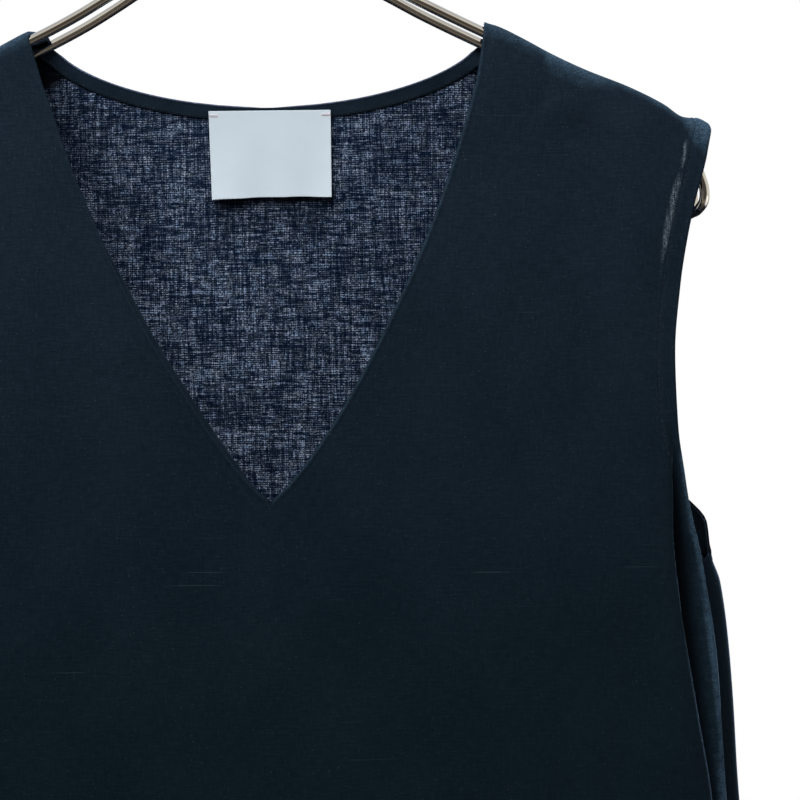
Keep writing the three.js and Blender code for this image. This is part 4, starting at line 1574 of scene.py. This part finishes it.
class StitchingOperator(bpy.types.Operator):
    """Sews the armholes, the back neck and the hem"""
    bl_idname = "dress.stitching"
    bl_label = "Stitching"

    def execute(self, context):
        trims = context.scene.dress_trims
        sizes = (trims.stitch, trims.stitch_gap, trims.thread_radius)
        strip = surface_of("back_neck_strip")
        for face, name in FACE_NAMES.items():
            cloth = surface_of(f"{name}_cloth")
            bm = bmesh.new()
            for hand in SIDE_NAMES:
                out = Vector((0.25 * hand, face, 0.3))
                sew(bm, armhole_line(face, hand), cloth, lambda point, out=out: out, *sizes)
                if face > 0:
                    line = neck_line(face, hand, NECK_STRIP - NECK_STITCH_IN)
                    sew(bm, line, cloth, lambda point: Vector((0, 1, 0.4)), *sizes)
                    sew(bm, line, strip, lambda point: Vector((0, -1, 0)), *sizes)
            sew(bm, hem_line(face), cloth,
                lambda point, face=face: Vector((4 * point.x * abs(point.x), face * 0.2, 0)),
                *sizes)
            dress_piece(plain_piece(bm, f"{name}_stitches"), (sewing_thread,), "linen_binding")
        return {"FINISHED"}


class HangerOperator(bpy.types.Operator):
    """Bends the hanger's wires and makes its collar"""
    bl_idname = "dress.hanger"
    bl_label = "Hanger"

    def execute(self, context):
        sides = context.scene.dress_hanger.wire_sides
        lines = {"arm_right": arm_line(1), "arm_left": arm_line(-1), "hook": hook_line()}
        for name, line in lines.items():
            bm = bmesh.new()
            sweep(bm, line, WIRE_RADIUS, sides, round_end=name == "hook")
            wire = plain_piece(bm, f"wire_{name}")
            dress_piece(wire, (chrome_plate,), "chrome", f"hanger_{name}")
        dress_piece(collar_piece("wire_collar"), (chrome_plate,), "chrome", "hanger_collar")
        return {"FINISHED"}


FLOOR_DROP = 0.230
FLOOR_HALF = 5.0
CAMERA_AT = (0.0351, -0.2694)  # x and z of the camera, and of the place it aims at
CAMERA_AIM = (0.0592, -0.2873)
CAMERA_ROLL = -0.72            # degrees
# Each lamp's setting and its share of that power, its place, aim and size
LAMPS = {
    "key_light": ("key", 1, (-0.33, -0.57, 0.53), (0, 0, -0.18), (0.8, 0.5)),
    "fill_light": ("fill", 1, (0.75, -0.6, 0.35), (0, 0, -0.25), (0.5, 0.8)),
    "top_light": ("top", 1, (0.0, 0.05, 0.55), (0, 0, -0.15), (1.0, 0.4)),
    "back_light": ("back", 1, (0.50, 1.10, -0.30), (0, 0, -0.62), (0.9, 1.3)),
    "back_fill": ("back", 0.45, (-0.85, 0.85, -0.35), (0, 0, -0.62), (0.8, 1.2)),
    "side_card": ("card", 1, (0.50, -0.16, -0.42), (0.27, 0, -0.21), (0.34, 0.34)),
}
MIRRORED_CARD = "side_card"    # only the chrome of the right arm's end shows it

# Tones of the studio: as it lights the cloth, by height from -1 below to 1 above, and as the
# chrome mirrors it, by turn from 0 before the dress, up or down, to 1 or -1 behind it
SURROUNDINGS = (
    (-1.00, (0.30, 0.29, 0.28)),
    (-0.10, (0.45, 0.45, 0.45)),
    (0.20, (0.70, 0.70, 0.70)),
    (1.00, (1.00, 1.00, 1.00)),
)
MIRRORED = (
    (-1.00, (0.010, 0.010, 0.014)),
    (-0.56, (0.010, 0.010, 0.014)),
    (-0.42, (0.050, 0.044, 0.044)),
    (-0.30, (0.100, 0.084, 0.072)),
    (-0.21, (0.260, 0.220, 0.170)),
    (-0.12, (0.080, 0.068, 0.058)),
    (0.10, (0.090, 0.078, 0.070)),
    (0.19, (0.900, 0.830, 0.690)),
    (0.28, (0.880, 0.860, 0.790)),
    (0.40, (0.600, 0.600, 0.605)),
    (0.62, (0.700, 0.710, 0.740)),
    (1.00, (0.800, 0.820, 0.880)),
)
# The chrome also mirrors pale panels at both sides, from the first to the second share of x
SIDE_PANELS = (0.60, 0.85)
SIDE_TONE = (0.95, 0.90, 0.80)


class StageOperator(bpy.types.Operator):
    """Puts the dress above a pale floor in soft studio light, and sets the camera"""
    bl_idname = "dress.stage"
    bl_label = "Stage"

    def execute(self, context):
        stage = context.scene.dress_stage
        context.scene.view_settings.view_transform = "Standard"
        context.scene.view_settings.look = "None"
        light_from_all_round(context.scene, stage)
        lamps = [soft_light(stage, name, *lamp) for name, lamp in LAMPS.items()]
        pale_floor(stage)
        studio_camera(stage)
        return {"FINISHED"}


def toned_background(graph, tones, strength, by_turn=False):
    """A background whose tone depends on the height it is seen at, or on the turn to it."""
    x, y, seen = graph.split(graph.add("TexCoord").outputs["Generated"])
    if by_turn:
        seen = graph.maths("ARCTAN2", seen, graph.times(y, -1))
    half = graph.maths("MULTIPLY_ADD", seen, 0.5 / math.pi if by_turn else 0.5, 0.5)
    ramp = graph.add("ValToRGB")
    marks = ramp.color_ramp.elements
    marks.remove(marks[1])
    marks[0].position, marks[0].color = 0.0, rgba(tones[0][1])
    for height, tone in tones[1:]:
        marks.new((height + 1) / 2).color = rgba(tone)
    tone = graph.fed(ramp, half)
    if by_turn:
        aside = graph.maths("ABSOLUTE", x)
        tone = graph.blend(graph.fed(graph.add("MapRange"), aside, *SIDE_PANELS), tone, SIDE_TONE)
    return graph.fed(graph.add("Background"), tone, strength)


def light_from_all_round(scene, stage):
    """A studio of soft light: white behind the dress, and banded where the chrome mirrors it."""
    scene.world = bpy.data.worlds.new("studio")
    scene.world.use_nodes = True
    graph = Graph(scene.world.node_tree)
    graph.nodes.clear()
    rays = graph.add("LightPath").outputs
    mirrored = toned_background(graph, MIRRORED, 1.0, by_turn=True)
    around = toned_background(graph, SURROUNDINGS, stage.ambient)
    behind = graph.fed(graph.add("Background"), rgba((1, 1, 1)))
    around = graph.fed(graph.add("MixShader"), rays["Is Glossy Ray"], around, mirrored)
    around = graph.fed(graph.add("MixShader"), rays["Is Camera Ray"], around, behind)
    graph.feed(graph.add("OutputWorld").inputs["Surface"], around)


def turned_towards(place, aim):
    return (Vector(aim) - Vector(place)).to_track_quat("-Z", "Y").to_matrix().to_4x4()


def soft_light(stage, name, setting, share, place, aim, size):
    lamp = bpy.data.lights.new(name, "AREA")
    lamp.shape = "RECTANGLE"
    lamp.size, lamp.size_y = size
    lamp.energy = getattr(stage, setting) * share
    holder = add_object(name, lamp)
    holder.visible_glossy = name == MIRRORED_CARD
    holder.visible_diffuse = name != MIRRORED_CARD
    holder.matrix_world = Matrix.Translation(place) @ turned_towards(place, aim)
    return holder


def pale_floor(stage):
    bm = bmesh.new()
    low = place_z(LENGTH) - FLOOR_DROP
    bmesh.ops.create_grid(bm, x_segments=1, y_segments=1, size=FLOOR_HALF,
                          matrix=Matrix.Translation((0, 0, low)))
    floor = plain_piece(bm, "pale_floor")
    finish = Finish("pale_floor")
    base = finish.blend(finish.noise(finish.place(), (3, 3, 3)), stage.floor,
                        [c * 0.98 for c in stage.floor])
    floor.data.materials.append(finish.set(Base_Color=base, Roughness=0.9))
    floor.visible_glossy = False
    return floor


def studio_camera(stage):
    lens = bpy.data.cameras.new("camera")
    lens.lens = stage.lens
    lens.sensor_width = 36
    x, z = CAMERA_AT
    place = Vector((x, -PLANE - stage.distance, z))
    aim = Vector((CAMERA_AIM[0], -PLANE, CAMERA_AIM[1]))
    roll = Matrix.Rotation(math.radians(CAMERA_ROLL), 4, "Z")
    camera = add_object("camera", lens)
    camera.matrix_world = Matrix.Translation(place) @ turned_towards(place, aim) @ roll
    bpy.context.scene.camera = camera
    return camera


SETTINGS = {
    "dress_cloth": DressCloth,
    "dress_trims": DressTrims,
    "dress_hanger": DressHanger,
    "dress_stage": DressStage,
}
OPERATORS = (
    FrontPanelOperator,
    BackPanelOperator,
    NeckBindingsOperator,
    ArmholeBindingsOperator,
    LabelOperator,
    StitchingOperator,
    HangerOperator,
    StageOperator,
)


class DressPanel(bpy.types.Panel):
    """Lists the steps that dress the solids"""
    bl_idname = "VIEW3D_PT_linen_dress"
    bl_label = "Linen dress"
    bl_space_type = "VIEW_3D"
    bl_region_type = "UI"
    bl_category = "Dress"

    def draw(self, context):
        for operator in OPERATORS:
            self.layout.operator(operator.bl_idname)
        for name in SETTINGS:
            box = self.layout.box()
            settings = getattr(context.scene, name)
            for key in settings.bl_rna.properties.keys():
                if key not in ("rna_type", "name"):
                    box.prop(settings, key)


CLASSES = (*SETTINGS.values(), *OPERATORS, DressPanel)


def register():
    for item in CLASSES:
        bpy.utils.register_class(item)
    for name, group in SETTINGS.items():
        setattr(bpy.types.Scene, name, bpy.props.PointerProperty(type=group))


def unregister():
    for name in SETTINGS:
        delattr(bpy.types.Scene, name)
    for item in reversed(CLASSES):
        bpy.utils.unregister_class(item)


def main():
    register()
    for operator in OPERATORS:
        group, name = operator.bl_idname.split(".")
        getattr(getattr(bpy.ops, group), name)()


if __name__ == "__main__":
    main()
